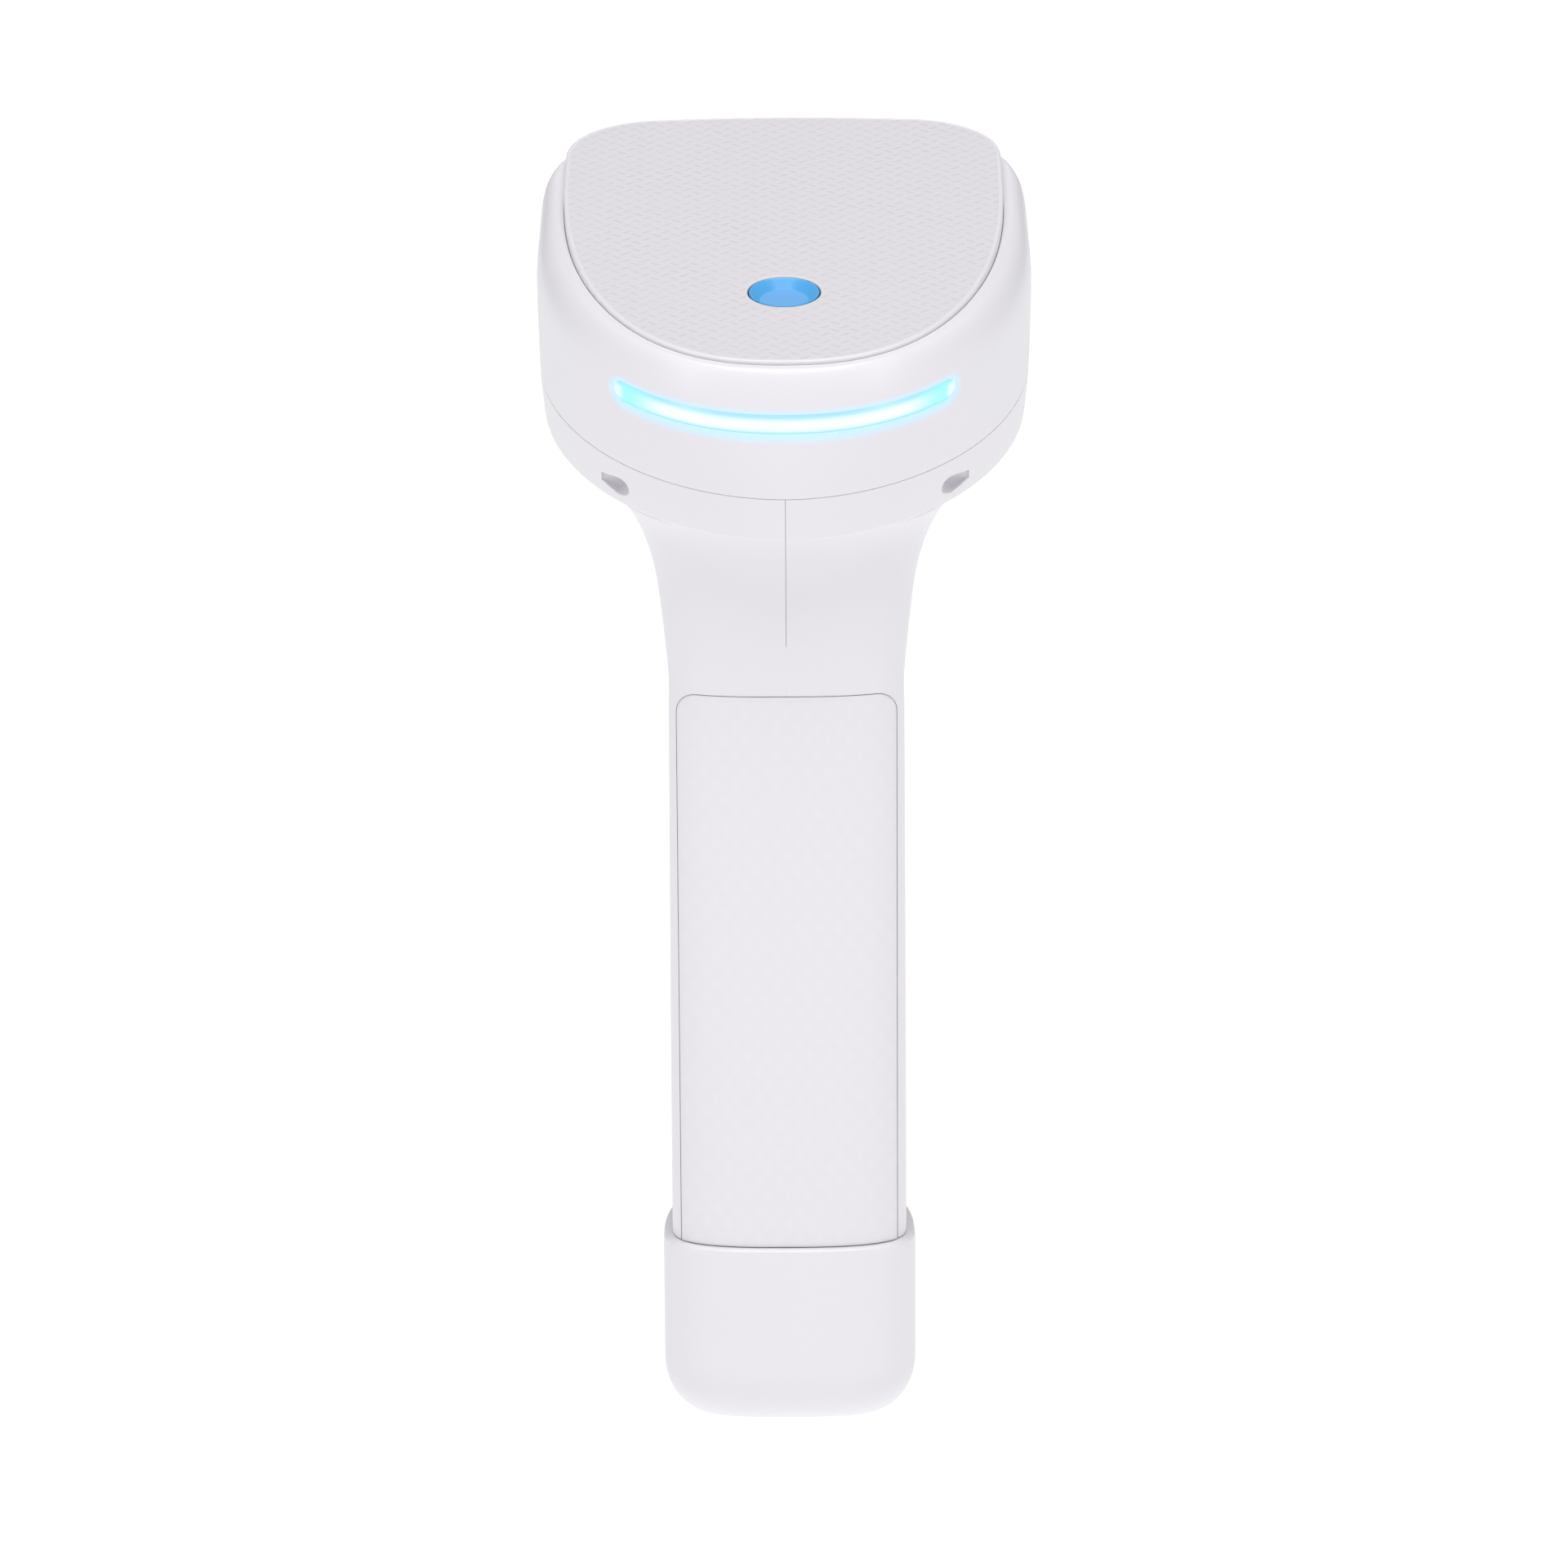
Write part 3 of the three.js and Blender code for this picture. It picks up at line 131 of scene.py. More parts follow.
class ScannerHandleSizes(bpy.types.PropertyGroup):
    """Sizes of the handle, its foot, its grip panel and its trigger."""

    foot_height: length("Foot height", 27.8, "Height of the battery pack's foot")
    grip_length: length("Grip length", 82.7, "Straight part of the handle above the foot")
    neck_rise: length("Neck rise", 27.7, "From the grip's end to the head's underside")
    half_width: length("Half width", 17.0, "Half the handle's width")
    back: length("Back depth", 9.0, "From the widest line back to the palm side")
    front: length("Front depth", 27.4, "From the widest line forward to the finger side")
    widest: length("Widest line", -8.4, "Where the handle is widest, along the scanning direction")
    foot_step: length("Foot step", 1.3, "How far the foot's rim stands out of the handle")
    foot_corner: length("Foot corner", 8.4, "How far the foot's bottom edge is rounded in")
    foot_corner_height: length("Foot corner height", 9.0, "Height of that rounding")
    panel_half_width: length("Panel half width", 15.5, "Half the width of the grip panel")
    panel_length: length("Panel length", 81.1, "Length of the grip panel above the foot")
    panel_corner: length("Panel corner", 2.8, "Radius of the grip panel's upper corners")
    panel_thickness: length("Panel depth", 1.3, "Depth of the grip panel's recess")
    panel_proud: length("Panel proud", 0.25, "How far the grip panel stands out of the handle")
    trigger_half_width: length("Trigger half width", 8.0, "Half the trigger's width")


class ScannerFinish(bpy.types.PropertyGroup):
    """Colours of the pieces that show."""

    shell: tint("Shell", 0xE8E6EB, "Moulded shells")
    # The field is painted darker than the rim of the same moulding: painted shade standing in for the
    # shade of its texture.
    plate: tint("Top plate", 0xDDDADF, "Textured top plate")
    panel: tint("Grip panel", 0xE7E5E9, "Grip panel")
    button: tint("Button", 0x55AEEA, "Function button")
    # The dish floor is the button's blue painted lighter: painted light on the one moulding.
    dish: tint("Button dish", 0x70B2EA, "Floor of the button's dish")
    glow: tint("Light bar", 0x97EBFF, "Ends of the lit bar")
    core: tint("Light bar core", 0xECFEFF, "Middle of the lit bar")
    mantle: tint("Light bar edge", 0xA4DCFF, "Long edges of the lit bar")
    halo: tint("Light bar halo", 0xC6E4FF, "Light that spreads in the plastic round the bar")
    trigger: tint("Trigger", 0x9A9CA3, "Trigger")
    floor: tint("Floor", 0xFFFFFF, "Paper floor")


SIZES = SimpleNamespace()


def in_millimetres(group):
    """A property group's values, its lengths as millimetres."""
    values = {}
    for key, prop in group.bl_rna.properties.items():
        if prop.type == "FLOAT":
            value = getattr(group, key)
            values[key] = value * 1000 if prop.unit == "LENGTH" else value
    return SimpleNamespace(**values)


def read_sizes(context):
    """Takes the sizes from the scene and works out what follows from them."""
    head = in_millimetres(context.scene.scanner_head)
    grip = in_millimetres(context.scene.scanner_handle)
    cos, sin = math.cos(head.tilt), math.sin(head.tilt)
    grip.end = grip.foot_height + grip.grip_length
    head.y = grip.widest - head.overhang
    widest_u = (head.overhang - head.depth * sin) / cos
    head.z = grip.end + grip.neck_rise + head.depth * cos - widest_u * sin
    head.cos, head.sin = cos, sin
    head.seat = -head.plate - head.gap
    head.ceiling = head.seat - head.wall
    SIZES.head, SIZES.grip = head, grip
    return head, grip


# ---- Shapes of the head and the handle, in millimetres ----


def mix(a, b, share):
    """The value a share of the way from a to b."""
    return a + (b - a) * share


def head_point(x, u, w):
    """A point of the head's own frame: u runs forward along the top, w up out of it."""
    h = SIZES.head
    return Vector((x, h.y + u * h.cos - w * h.sin, h.z + u * h.sin + w * h.cos))


def head_outline(w, inset):
    """The head's outline at depth w below the top, moved in by inset."""
    h = SIZES.head
    out = 0.0
    if w <= -h.rim_drop:
        rise = max(0.0, (w + h.shoulder_depth) / (h.shoulder_depth - h.rim_drop))
        out = mix(0.26, 1.0, math.sqrt(max(0.0, 1 - rise * rise)))
    below = max(0.0, (-w - h.shoulder_depth) / (h.depth - h.shoulder_depth))
    turn = min(1.0, below * 1.7)
    nose = -h.shoulder * out - 0.6 * math.sin(below * math.pi) + 0.5 * below**3
    front = h.plate_length + h.front_swell * out - 0.8 * below**1.5
    reach = mix(0.62, 0.5, turn) if below > 0 else mix(0.77, 0.62, out)
    rear = reach * (front - nose)
    return SimpleNamespace(
        half=h.half_width + h.shoulder * out - 1.1 * below**1.2 - inset,
        widest=nose + rear,
        rear=rear - inset,
        front=front - inset,
        power=mix(2.15, 1.92, turn) if below > 0 else mix(2.4, 2.15, out),
        corner=max(1.0, h.corner + h.corner_swell * out - inset),
    )


def rear_edge(line, x):
    """Where the outline's rear half lies at offset x from the middle."""
    share = min(1.0, abs(x) / line.half)
    return line.widest - line.rear * (1 - share**line.power) ** (1 / line.power)


def front_edge(line, x):
    """Where the outline's front lies at offset x from the middle."""
    flat = line.half - line.corner
    if x <= flat:
        return line.front - 0.8 * (x / flat) ** 2
    lean = math.acos(min(1.0, (x - flat) / line.corner))
    return line.front - line.corner + (line.corner - 0.8) * math.sin(lean)


REAR, FLANK, SIDE, TURN, FRONT = range(5)


def head_columns(rear_marks, front_marks, flank, side, turn):
    """Stations round half the head's outline, from the middle of the rear to the middle of the front."""
    stations = [(REAR, x) for x in rear_marks]
    stations += [(FLANK, rear_marks[-1], (i + 1) / flank) for i in range(flank)]
    stations += [(SIDE, (i + 1) / side) for i in range(side)]
    stations += [(TURN, front_marks[0], (i + 1) / (turn + 1)) for i in range(turn)]
    return stations + [(FRONT, x) for x in front_marks]


def head_station(line, station):
    """The point of an outline at a station, as offset x and distance u."""
    kind, *place = station
    if kind == REAR:
        return place[0], rear_edge(line, place[0])
    if kind == FLANK:
        x = mix(place[0], line.half, math.sin(place[1] * math.pi / 2))
        return x, rear_edge(line, x)
    if kind == SIDE:
        return line.half, mix(line.widest, line.front - line.corner, place[0])
    if kind == TURN:
        flat = line.half - line.corner
        end = math.acos(min(1.0, (place[0] - flat) / line.corner))
        lean = end * place[1]
        ahead = line.front - line.corner + (line.corner - 0.8) * math.sin(lean)
        return flat + line.corner * math.cos(lean), ahead
    return place[0], front_edge(line, place[0])


def grip_slimming(z):
    """How much slimmer the handle is at height z than at its foot."""
    g = SIZES.grip
    share = max(0.0, min(1.0, (z - g.foot_height) / g.grip_length))
    return 0.25 * share**1.5


HANDLE_SQUARENESS = 2.8
FINGER_SQUARENESS = 2.4


def grip_section(z, inset):
    """Half width, back depth, front depth and squareness of the handle at height z."""
    g = SIZES.grip
    half = g.half_width - grip_slimming(z) - inset
    return half, g.back - inset, g.front - inset, HANDLE_SQUARENESS


def neck_section(share, inset):
    """The same for the neck: share 0 is the grip's end and 1 the head's underside."""
    g = SIZES.grip
    fillet = max(0.0, (share - 0.45) / 0.55)
    flare = 1 - math.sqrt(1 - fillet * fillet)
    return (
        g.half_width - 0.25 + 3.3 * share**1.2 + 6.0 * flare - inset,
        g.back + 3.2 * share**1.4 + 3.2 * flare - inset,
        g.front + 8.0 * share**1.2 + 16.0 * flare - inset,
        mix(HANDLE_SQUARENESS, 2.0, share),
    )


BACK, SWEEP, FINGER = range(3)


def grip_station(section, station, squeeze=1.0):
    """A handle section's point at a station, as offset x and distance forward of the widest line."""
    half, back, front, power = section
    kind, *place = station
    if kind == FINGER:
        angle = place[0] * math.pi / 2
        bow = 2 / FINGER_SQUARENESS
        return half * math.cos(angle) ** bow, front * math.sin(angle) ** bow
    x = min(SEAM[0] + (place[0] - SEAM[0]) * squeeze, half)
    if kind == SWEEP:
        x = mix(x, half, math.sin(place[1] * math.pi / 2))
    return x, -back * max(0.0, 1 - (x / half) ** power) ** (1 / power)


def slant_gain(section, x, most=1.6):
    """How much further a depth reaches straight forward than square to the handle's back at x."""
    half, back, _, power = section
    lean = (x / half) ** (power - 1) * (back / half)
    return min(math.hypot(1.0, lean), most)


def panel_outline(play):
    """Half width, top and corner radius of the grip panel's outline, grown by some play."""
    g = SIZES.grip
    top = g.foot_height + g.panel_length + play
    return g.panel_half_width + play, top, g.panel_corner + play


def round_corner(x, y, cx, cy, radius, reach=1.6):
    """Moves a point of a square grid so that the grid's corner beyond (cx, cy) becomes an arc."""
    a, b = (x - cx) / radius, (y - cy) / radius
    if a <= 0 or b <= 0:
        return x, y
    near_a, near_b = min(a, 1.0), min(b, 1.0)
    fade = max(0.0, 1 - (max(a, b, 1.0) - 1) / reach)
    pull_a = near_a * (math.sqrt(1 - near_b * near_b / 2) - 1)
    pull_b = near_b * (math.sqrt(1 - near_a * near_a / 2) - 1)
    return x + radius * pull_a * fade, y + radius * pull_b * fade


def round_end(x, w, span, middle, radius):
    """The same at both corners of a slot's end, which makes it a half circle."""
    above = w >= middle
    rise = w - middle if above else middle - w
    x, rise = round_corner(x, rise, span - radius, 0.0, radius)
    return x, middle + rise if above else middle - rise


# ---- Mesh making ----

MILLIMETRE = 0.001
SHARP_ANGLE = math.radians(35.0)
TUBE_SIDES = 72
BAR_SIDES = 28


def steps(start, end, count):
    """Evenly spaced values from start to end, both included."""
    return [mix(start, end, i / count) for i in range(count + 1)]


def placed_grid(bm, columns, rows, place):
    """Adds a grid and moves each of its vertices to place(column, row)."""
    made = bmesh.ops.create_grid(bm, x_segments=columns - 1, y_segments=rows - 1, size=1.0)
    faces = {}
    for face in {f for v in made["verts"] for f in v.link_faces}:
        middle = face.calc_center_median()
        i = round((middle.x + 1) / 2 * (columns - 1) - 0.5)
        j = round((middle.y + 1) / 2 * (rows - 1) - 0.5)
        faces[i, j] = face
    for vertex in made["verts"]:
        i = round((vertex.co.x + 1) / 2 * (columns - 1))
        j = round((vertex.co.y + 1) / 2 * (rows - 1))
        vertex.co = place(i, j)
    return faces


def mirror_half(bm):
    """Adds the other half across the middle plane and joins the two."""
    for vertex in bm.verts:
        if abs(vertex.co.x) < 1e-4:
            vertex.co.x = 0.0
    bmesh.ops.mirror(bm, geom=bm.verts[:] + bm.edges[:] + bm.faces[:], axis="X", merge_dist=1e-4)


def open_rims(bm):
    """The open edges of a mesh, grouped into chains that touch."""
    left = {e for e in bm.edges if e.is_boundary}
    rims = []
    while left:
        rim, waiting = [], [left.pop()]
        while waiting:
            edge = waiting.pop()
            rim.append(edge)
            for vertex in edge.verts:
                for other in vertex.link_edges:
                    if other in left:
                        left.discard(other)
                        waiting.append(other)
        rims.append(rim)
    return rims


def rim_middle(rim):
    """The mean place of a rim's vertices."""
    points = [v.co for e in rim for v in e.verts]
    return sum(points, Vector()) / len(points)


def round_tube(bm, place, rings):
    """Adds a round tube through (radius, height) rings at u = place, and returns its end rims."""
    matrix = Matrix.Translation((0, place, rings[0][1]))
    made = bmesh.ops.create_circle(bm, segments=TUBE_SIDES, radius=rings[0][0], matrix=matrix)
    first = list({e for v in made["verts"] for e in v.link_edges})
    rim = first
    for (radius, height), (next_radius, next_height) in zip(rings, rings[1:]):
        grown = bmesh.ops.extrude_edge_only(bm, edges=rim)["geom"]
        verts = {g for g in grown if isinstance(g, bmesh.types.BMVert)}
        share = next_radius / radius
        space = Matrix.Translation((0, -place, 0))
        bmesh.ops.scale(bm, verts=list(verts), vec=(share, share, 1), space=space)
        bmesh.ops.translate(bm, verts=list(verts), vec=(0, 0, next_height - height))
        rim = [g for g in grown if isinstance(g, bmesh.types.BMEdge) and verts.issuperset(g.verts)]
    return first, rim


def flat_fill(bm, edges):
    """Fills a flat outline, less any hole in it, and returns the new faces."""
    made = bmesh.ops.triangle_fill(bm, use_beauty=True, edges=edges)["geom"]
    return [g for g in made if isinstance(g, bmesh.types.BMFace)]


def face_outwards(bm):
    """Turns every normal of a closed mesh outwards."""
    bmesh.ops.recalc_face_normals(bm, faces=bm.faces[:])
    if bm.calc_volume(signed=True) < 0:
        bmesh.ops.reverse_faces(bm, faces=bm.faces[:])
    bm.normal_update()


def finish_piece(bm, name, body, replaces, material):
    """Turns a mesh in millimetres into a finished piece that rides on a body."""
    bmesh.ops.remove_doubles(bm, verts=bm.verts[:], dist=2e-4)
    bmesh.ops.dissolve_degenerate(bm, edges=bm.edges[:], dist=1e-4)
    face_outwards(bm)
    bmesh.ops.scale(bm, vec=(MILLIMETRE,) * 3, verts=bm.verts[:])
    for face in bm.faces:
        face.smooth = True
    for edge in bm.edges:
        edge.smooth = not (edge.is_manifold and edge.calc_face_angle(0.0) > SHARP_ANGLE)
    mesh = bpy.data.meshes.new(name)
    bm.to_mesh(mesh)
    bm.free()
    piece = bpy.data.objects.new(name, mesh)
    bpy.context.scene.collection.objects.link(piece)
    piece.data.materials.append(material)
    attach(piece, body)
    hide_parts(*replaces)
    return piece


def cutter_object(bm, name):
    """A mesh in millimetres as a temporary solid for cutting."""
    bmesh.ops.remove_doubles(bm, verts=bm.verts[:], dist=1e-4)
    bmesh.ops.recalc_face_normals(bm, faces=bm.faces[:])
    bmesh.ops.scale(bm, vec=(MILLIMETRE,) * 3, verts=bm.verts[:])
    mesh = bpy.data.meshes.new(name)
    bm.to_mesh(mesh)
    bm.free()
    cutter = bpy.data.objects.new(name, mesh)
    bpy.context.scene.collection.objects.link(cutter)
    return cutter


def cut_out(piece, cutters, operation="DIFFERENCE"):
    """Cuts temporary solids out of a piece, or joins them to it, for good, and removes them."""
    for cutter in cutters:
        modifier = piece.modifiers.new("Cut", "BOOLEAN")
        modifier.operation = operation
        modifier.solver = "EXACT"
        modifier.object = cutter
    settle(piece)
    for cutter in cutters:
        bpy.data.objects.remove(cutter)


def settle(piece):
    """Makes a piece's modifiers part of its mesh."""
    bpy.context.view_layer.update()
    graph = bpy.context.evaluated_depsgraph_get()
    mesh = bpy.data.meshes.new_from_object(piece.evaluated_get(graph), depsgraph=graph)
    piece.modifiers.clear()
    old = piece.data
    piece.data = mesh
    mesh.name = piece.name
    bpy.data.meshes.remove(old)


def even_shading(piece):
    """Keeps large faces flat-looking beside narrow rounded edges."""
    modifier = piece.modifiers.new("Even shading", "WEIGHTED_NORMAL")
    modifier.keep_sharp = True
    modifier.weight = 60


def box_cutter(low, high, round_edges):
    """A box between two corners, with its edges along y rounded."""
    bm = bmesh.new()
    bmesh.ops.create_cube(bm, size=1.0)
    for vertex in bm.verts:
        vertex.co = Vector([mix(low[k], high[k], vertex.co[k] + 0.5) for k in range(3)])
    along = [e for e in bm.edges if abs((e.verts[0].co - e.verts[1].co).y) > 1e-3]
    bmesh.ops.bevel(
        bm, geom=along, offset=round_edges, segments=6, profile=0.5, affect="EDGES", material=-1
    )
    return bm


def bar_cutter(radius, start, end):
    """A round bar between two points."""
    bm = bmesh.new()
    start, end = Vector(start), Vector(end)
    axis = end - start
    bmesh.ops.create_cone(
        bm, cap_ends=True, segments=BAR_SIDES, radius1=radius, radius2=radius, depth=axis.length
    )
    turn = axis.to_track_quat("Z", "Y").to_matrix().to_4x4()
    bmesh.ops.transform(bm, matrix=Matrix.Translation((start + end) / 2) @ turn, verts=bm.verts[:])
    return bm


# ---- Materials ----


def node(tree, kind, inputs=None, **settings):
    """Adds a node with its settings, and sets or links its inputs."""
    made = tree.nodes.new(kind)
    for key, value in settings.items():
        setattr(made, key, value)
    for key, value in (inputs or {}).items():
        if isinstance(value, bpy.types.NodeSocket):
            tree.links.new(value, made.inputs[key])
        else:
            made.inputs[key].default_value = value
    return made


def new_surface(name, roughness, ior=1.5, metallic=0.0):
    """A material with one shader, and the place of each point in metres."""
    material = bpy.data.materials.new(name)
    material.use_nodes = True
    tree = material.node_tree
    tree.nodes.clear()
    shader = node(
        tree,
        "ShaderNodeBsdfPrincipled",
        {"Roughness": roughness, "IOR": ior, "Metallic": metallic},
    )
    node(tree, "ShaderNodeOutputMaterial", {"Surface": shader.outputs["BSDF"]})
    place = node(tree, "ShaderNodeTexCoord").outputs["Object"]
    return material, tree, shader, place


def shade(tree, factor, low, high):
    """A colour between two others, as far along as factor says."""
    blend = node(tree, "ShaderNodeMix", {0: factor, 6: low, 7: high}, data_type="RGBA")
    return blend.outputs[2]


def rgba(colour, gain=1.0):
    """A colour, made lighter or darker, with full opacity."""
    return (*[min(1.0, c * gain) for c in colour], 1.0)


def moulded_plastic(name, colour, roughness, grain, relief, patchiness=0.012, ior=1.5):
    """Injection-moulded plastic: faint flow marks, and the fine grain of a spark-eroded mould."""
    material, tree, shader, place = new_surface(name, roughness, ior)
    flow = node(tree, "ShaderNodeTexNoise", {"Vector": place, "Scale": 1 / 0.018, "Detail": 3.0})
    base = shade(
        tree,
        flow.outputs["Fac"],
        rgba(colour, 1 - patchiness),
        rgba(colour, 1 + patchiness),
    )
    tree.links.new(base, shader.inputs["Base Color"])
    spark = node(
        tree,
        "ShaderNodeTexNoise",
        {"Vector": place, "Scale": 1 / grain, "Detail": 2.0, "Roughness": 0.6},
    )
    bump = node(
        tree,
        "ShaderNodeBump",
        {"Strength": 1.0, "Distance": relief, "Height": spark.outputs["Fac"]},
    )
    tree.links.new(bump.outputs["Normal"], shader.inputs["Normal"])
    rough = node(
        tree,
        "ShaderNodeMapRange",
        {"Value": flow.outputs["Fac"], "To Min": roughness - 0.03, "To Max": roughness + 0.03},
    )
    tree.links.new(rough.outputs[0], shader.inputs["Roughness"])
    return material


def head_coordinates(tree, place):
    """The place in the head's own frame, in millimetres: x across, y along the top and z out of it."""
    h = SIZES.head
    origin = (h.y * h.cos + h.z * h.sin, h.z * h.cos - h.y * h.sin)
    turned = node(
        tree,
        "ShaderNodeMapping",
        {
            "Vector": place,
            "Location": (0.0, -origin[0], -origin[1]),
            "Rotation": (-h.tilt, 0.0, 0.0),
            "Scale": (1000.0, 1000.0, 1000.0),
        },
    )
    return node(tree, "ShaderNodeSeparateXYZ", {"Vector": turned.outputs[0]}).outputs


def lit_shell_plastic(name, colour, halo):
    """Glossy white ABS of the head cover, which spreads the light bar's glow a millimetre or so."""
    h = SIZES.head
    material = moulded_plastic(name, colour, 0.34, 0.0004, 0.0000012)
    tree = material.node_tree
    shader = next(n for n in tree.nodes if n.type == "BSDF_PRINCIPLED")
    place = next(n for n in tree.nodes if n.type == "TEX_COORD").outputs["Object"]
    x, u, w = head_coordinates(tree, place)
    radius = h.bar_height / 2
    span = h.bar_half_span - radius
    across = node(tree, "ShaderNodeMath", {0: w, 1: h.bar_depth + 0.3}, operation="ADD").outputs[0]
    away = node(tree, "ShaderNodeMath", {0: x}, operation="ABSOLUTE").outputs[0]
    beyond = node(tree, "ShaderNodeMath", {0: away, 1: span}, operation="SUBTRACT").outputs[0]
    beyond = node(tree, "ShaderNodeMath", {0: beyond, 1: 0.0}, operation="MAXIMUM").outputs[0]
    offset = node(tree, "ShaderNodeCombineXYZ", {"X": beyond, "Y": across}).outputs[0]
    reach = node(tree, "ShaderNodeVectorMath", {0: offset}, operation="LENGTH").outputs["Value"]
    glow = node(
        tree,
        "ShaderNodeMapRange",
        {"Value": reach, "From Min": radius, "From Max": radius + 1.35, "To Min": 1.0, "To Max": 0.0},
        interpolation_type="SMOOTHERSTEP",
    ).outputs[0]
    rear = node(
        tree,
        "ShaderNodeMapRange",
        {"Value": u, "From Min": 25.0, "From Max": 30.0, "To Min": 1.0, "To Max": 0.0},
    ).outputs[0]
    glow = node(tree, "ShaderNodeMath", {0: glow, 1: rear}, operation="MULTIPLY").outputs[0]
    plain = shader.inputs["Base Color"].links[0].from_socket
    tree.links.new(shade(tree, glow, plain, rgba(halo)), shader.inputs["Base Color"])
    tree.links.new(shade(tree, glow, (0, 0, 0, 1), rgba(halo)), shader.inputs["Emission Color"])
    shader.inputs["Emission Strength"].default_value = 0.16
    return material


def woven_look_plate(name, colour):
    """Polycarbonate top plate, moulded with herringbone rows of short slanted dashes for grip; the dashes
    are recessed by bump and painted darker, as painted shade.
    """
    dash_pitch, column = 2.5, 1.4
    material, tree, shader, place = new_surface(name, 0.5)
    x, u, _ = head_coordinates(tree, place)
    cells = node(tree, "ShaderNodeMath", {0: x, 1: column}, operation="DIVIDE").outputs[0]
    cells = node(tree, "ShaderNodeMath", {0: cells, 1: 100.5}, operation="ADD").outputs[0]
    index = node(tree, "ShaderNodeMath", {0: cells}, operation="FLOOR").outputs[0]
    odd = node(tree, "ShaderNodeMath", {0: index, 1: 2.0}, operation="MODULO").outputs[0]
    local = node(tree, "ShaderNodeMath", {0: cells, 1: index}, operation="SUBTRACT").outputs[0]
    local = node(tree, "ShaderNodeMath", {0: local, 1: 0.5}, operation="SUBTRACT").outputs[0]
    turn = node(tree, "ShaderNodeMath", {0: odd, 1: -2.0, 2: 1.0}, operation="MULTIPLY_ADD").outputs[0]
    shift = node(
        tree, "ShaderNodeMath", {0: odd, 1: dash_pitch / 2, 2: u}, operation="MULTIPLY_ADD"
    ).outputs[0]
    rows = node(tree, "ShaderNodeMath", {0: shift, 1: dash_pitch}, operation="DIVIDE").outputs[0]
    along = node(tree, "ShaderNodeMath", {0: rows, 1: 50.0}, operation="ADD").outputs[0]
    along = node(tree, "ShaderNodeMath", {0: along}, operation="FRACT").outputs[0]
    along = node(tree, "ShaderNodeMath", {0: along, 1: 0.5}, operation="SUBTRACT").outputs[0]
    along = node(tree, "ShaderNodeMath", {0: along, 1: dash_pitch}, operation="MULTIPLY").outputs[0]
    slant = node(tree, "ShaderNodeMath", {0: local, 1: turn}, operation="MULTIPLY").outputs[0]
    slant = node(tree, "ShaderNodeMath", {0: slant, 1: 0.68 * column}, operation="MULTIPLY").outputs[0]
    off = node(tree, "ShaderNodeMath", {0: along, 1: slant}, operation="SUBTRACT").outputs[0]
    off = node(tree, "ShaderNodeMath", {0: off}, operation="ABSOLUTE").outputs[0]
    ends = node(tree, "ShaderNodeMath", {0: local, 1: local}, operation="MULTIPLY").outputs[0]
    half = node(
        tree, "ShaderNodeMath", {0: ends, 1: -1.0, 2: 0.34}, operation="MULTIPLY_ADD"
    ).outputs[0]
    depth = node(tree, "ShaderNodeMath", {0: half, 1: off}, operation="SUBTRACT").outputs[0]
    dash = node(
        tree,
        "ShaderNodeMapRange",
        {"Value": depth, "From Min": -0.08, "From Max": 0.16},
        interpolation_type="SMOOTHSTEP",
    ).outputs[0]
    # Noise that fades the dashes unevenly: both their relief and their painted shade.
    dash_wear_and_shade = node(tree, "ShaderNodeTexNoise", {"Vector": place, "Scale": 1 / 0.006, "Detail": 2.0})
    fade = node(
        tree,
        "ShaderNodeMapRange",
        {"Value": dash_wear_and_shade.outputs["Fac"], "From Min": 0.3, "From Max": 0.7, "To Min": 0.55, "To Max": 1.0},
    ).outputs[0]
    dash = node(tree, "ShaderNodeMath", {0: dash, 1: fade}, operation="MULTIPLY").outputs[0]
    # Painted shade: the recessed dashes are painted darker than the plate.
    darker = (colour[0] * 0.915, colour[1] * 0.89, colour[2] * 0.905)
    tree.links.new(shade(tree, dash, rgba(colour), rgba(darker)), shader.inputs["Base Color"])
    bump = node(
        tree,
        "ShaderNodeBump",
        {"Strength": 0.5, "Distance": 0.00006, "Height": dash},
        invert=True,
    )
    tree.links.new(bump.outputs["Normal"], shader.inputs["Normal"])
    return material


def diamond_grip(name, colour):
    """Soft-touch moulding of the grip panel: a very shallow diamond pattern that only shows at a slant,
    its raised parts painted a little lighter as a painted highlight.
    """
    material, tree, shader, place = new_surface(name, 0.5)
    pattern = []
    for turn in (35, -35):
        turned = node(
            tree,
            "ShaderNodeMapping",
            {"Vector": place, "Rotation": (0.0, math.radians(turn), 0.0)},
        )
        wave = node(
            tree,
            "ShaderNodeTexWave",
            {"Vector": turned.outputs[0], "Scale": 1 / 0.0024 / 20 * 2 * math.pi, "Distortion": 0.0},
            bands_direction="X",
        )
        pattern.append(wave.outputs["Fac"])
    height = node(
        tree, "ShaderNodeMath", {0: pattern[0], 1: pattern[1]}, operation="MULTIPLY"
    ).outputs[0]
    patches = node(tree, "ShaderNodeTexNoise", {"Vector": place, "Scale": 1 / 0.009, "Detail": 2.0})
    height = node(
        tree, "ShaderNodeMath", {0: height, 1: patches.outputs["Fac"]}, operation="MULTIPLY"
    ).outputs[0]
    # Painted highlight: the pattern's raised parts are painted 3% lighter.
    base = shade(tree, height, rgba(colour), rgba(colour, 1.03))
    tree.links.new(base, shader.inputs["Base Color"])
    bump = node(tree, "ShaderNodeBump", {"Strength": 0.5, "Distance": 0.00001, "Height": height})
    tree.links.new(bump.outputs["Normal"], shader.inputs["Normal"])
    return material


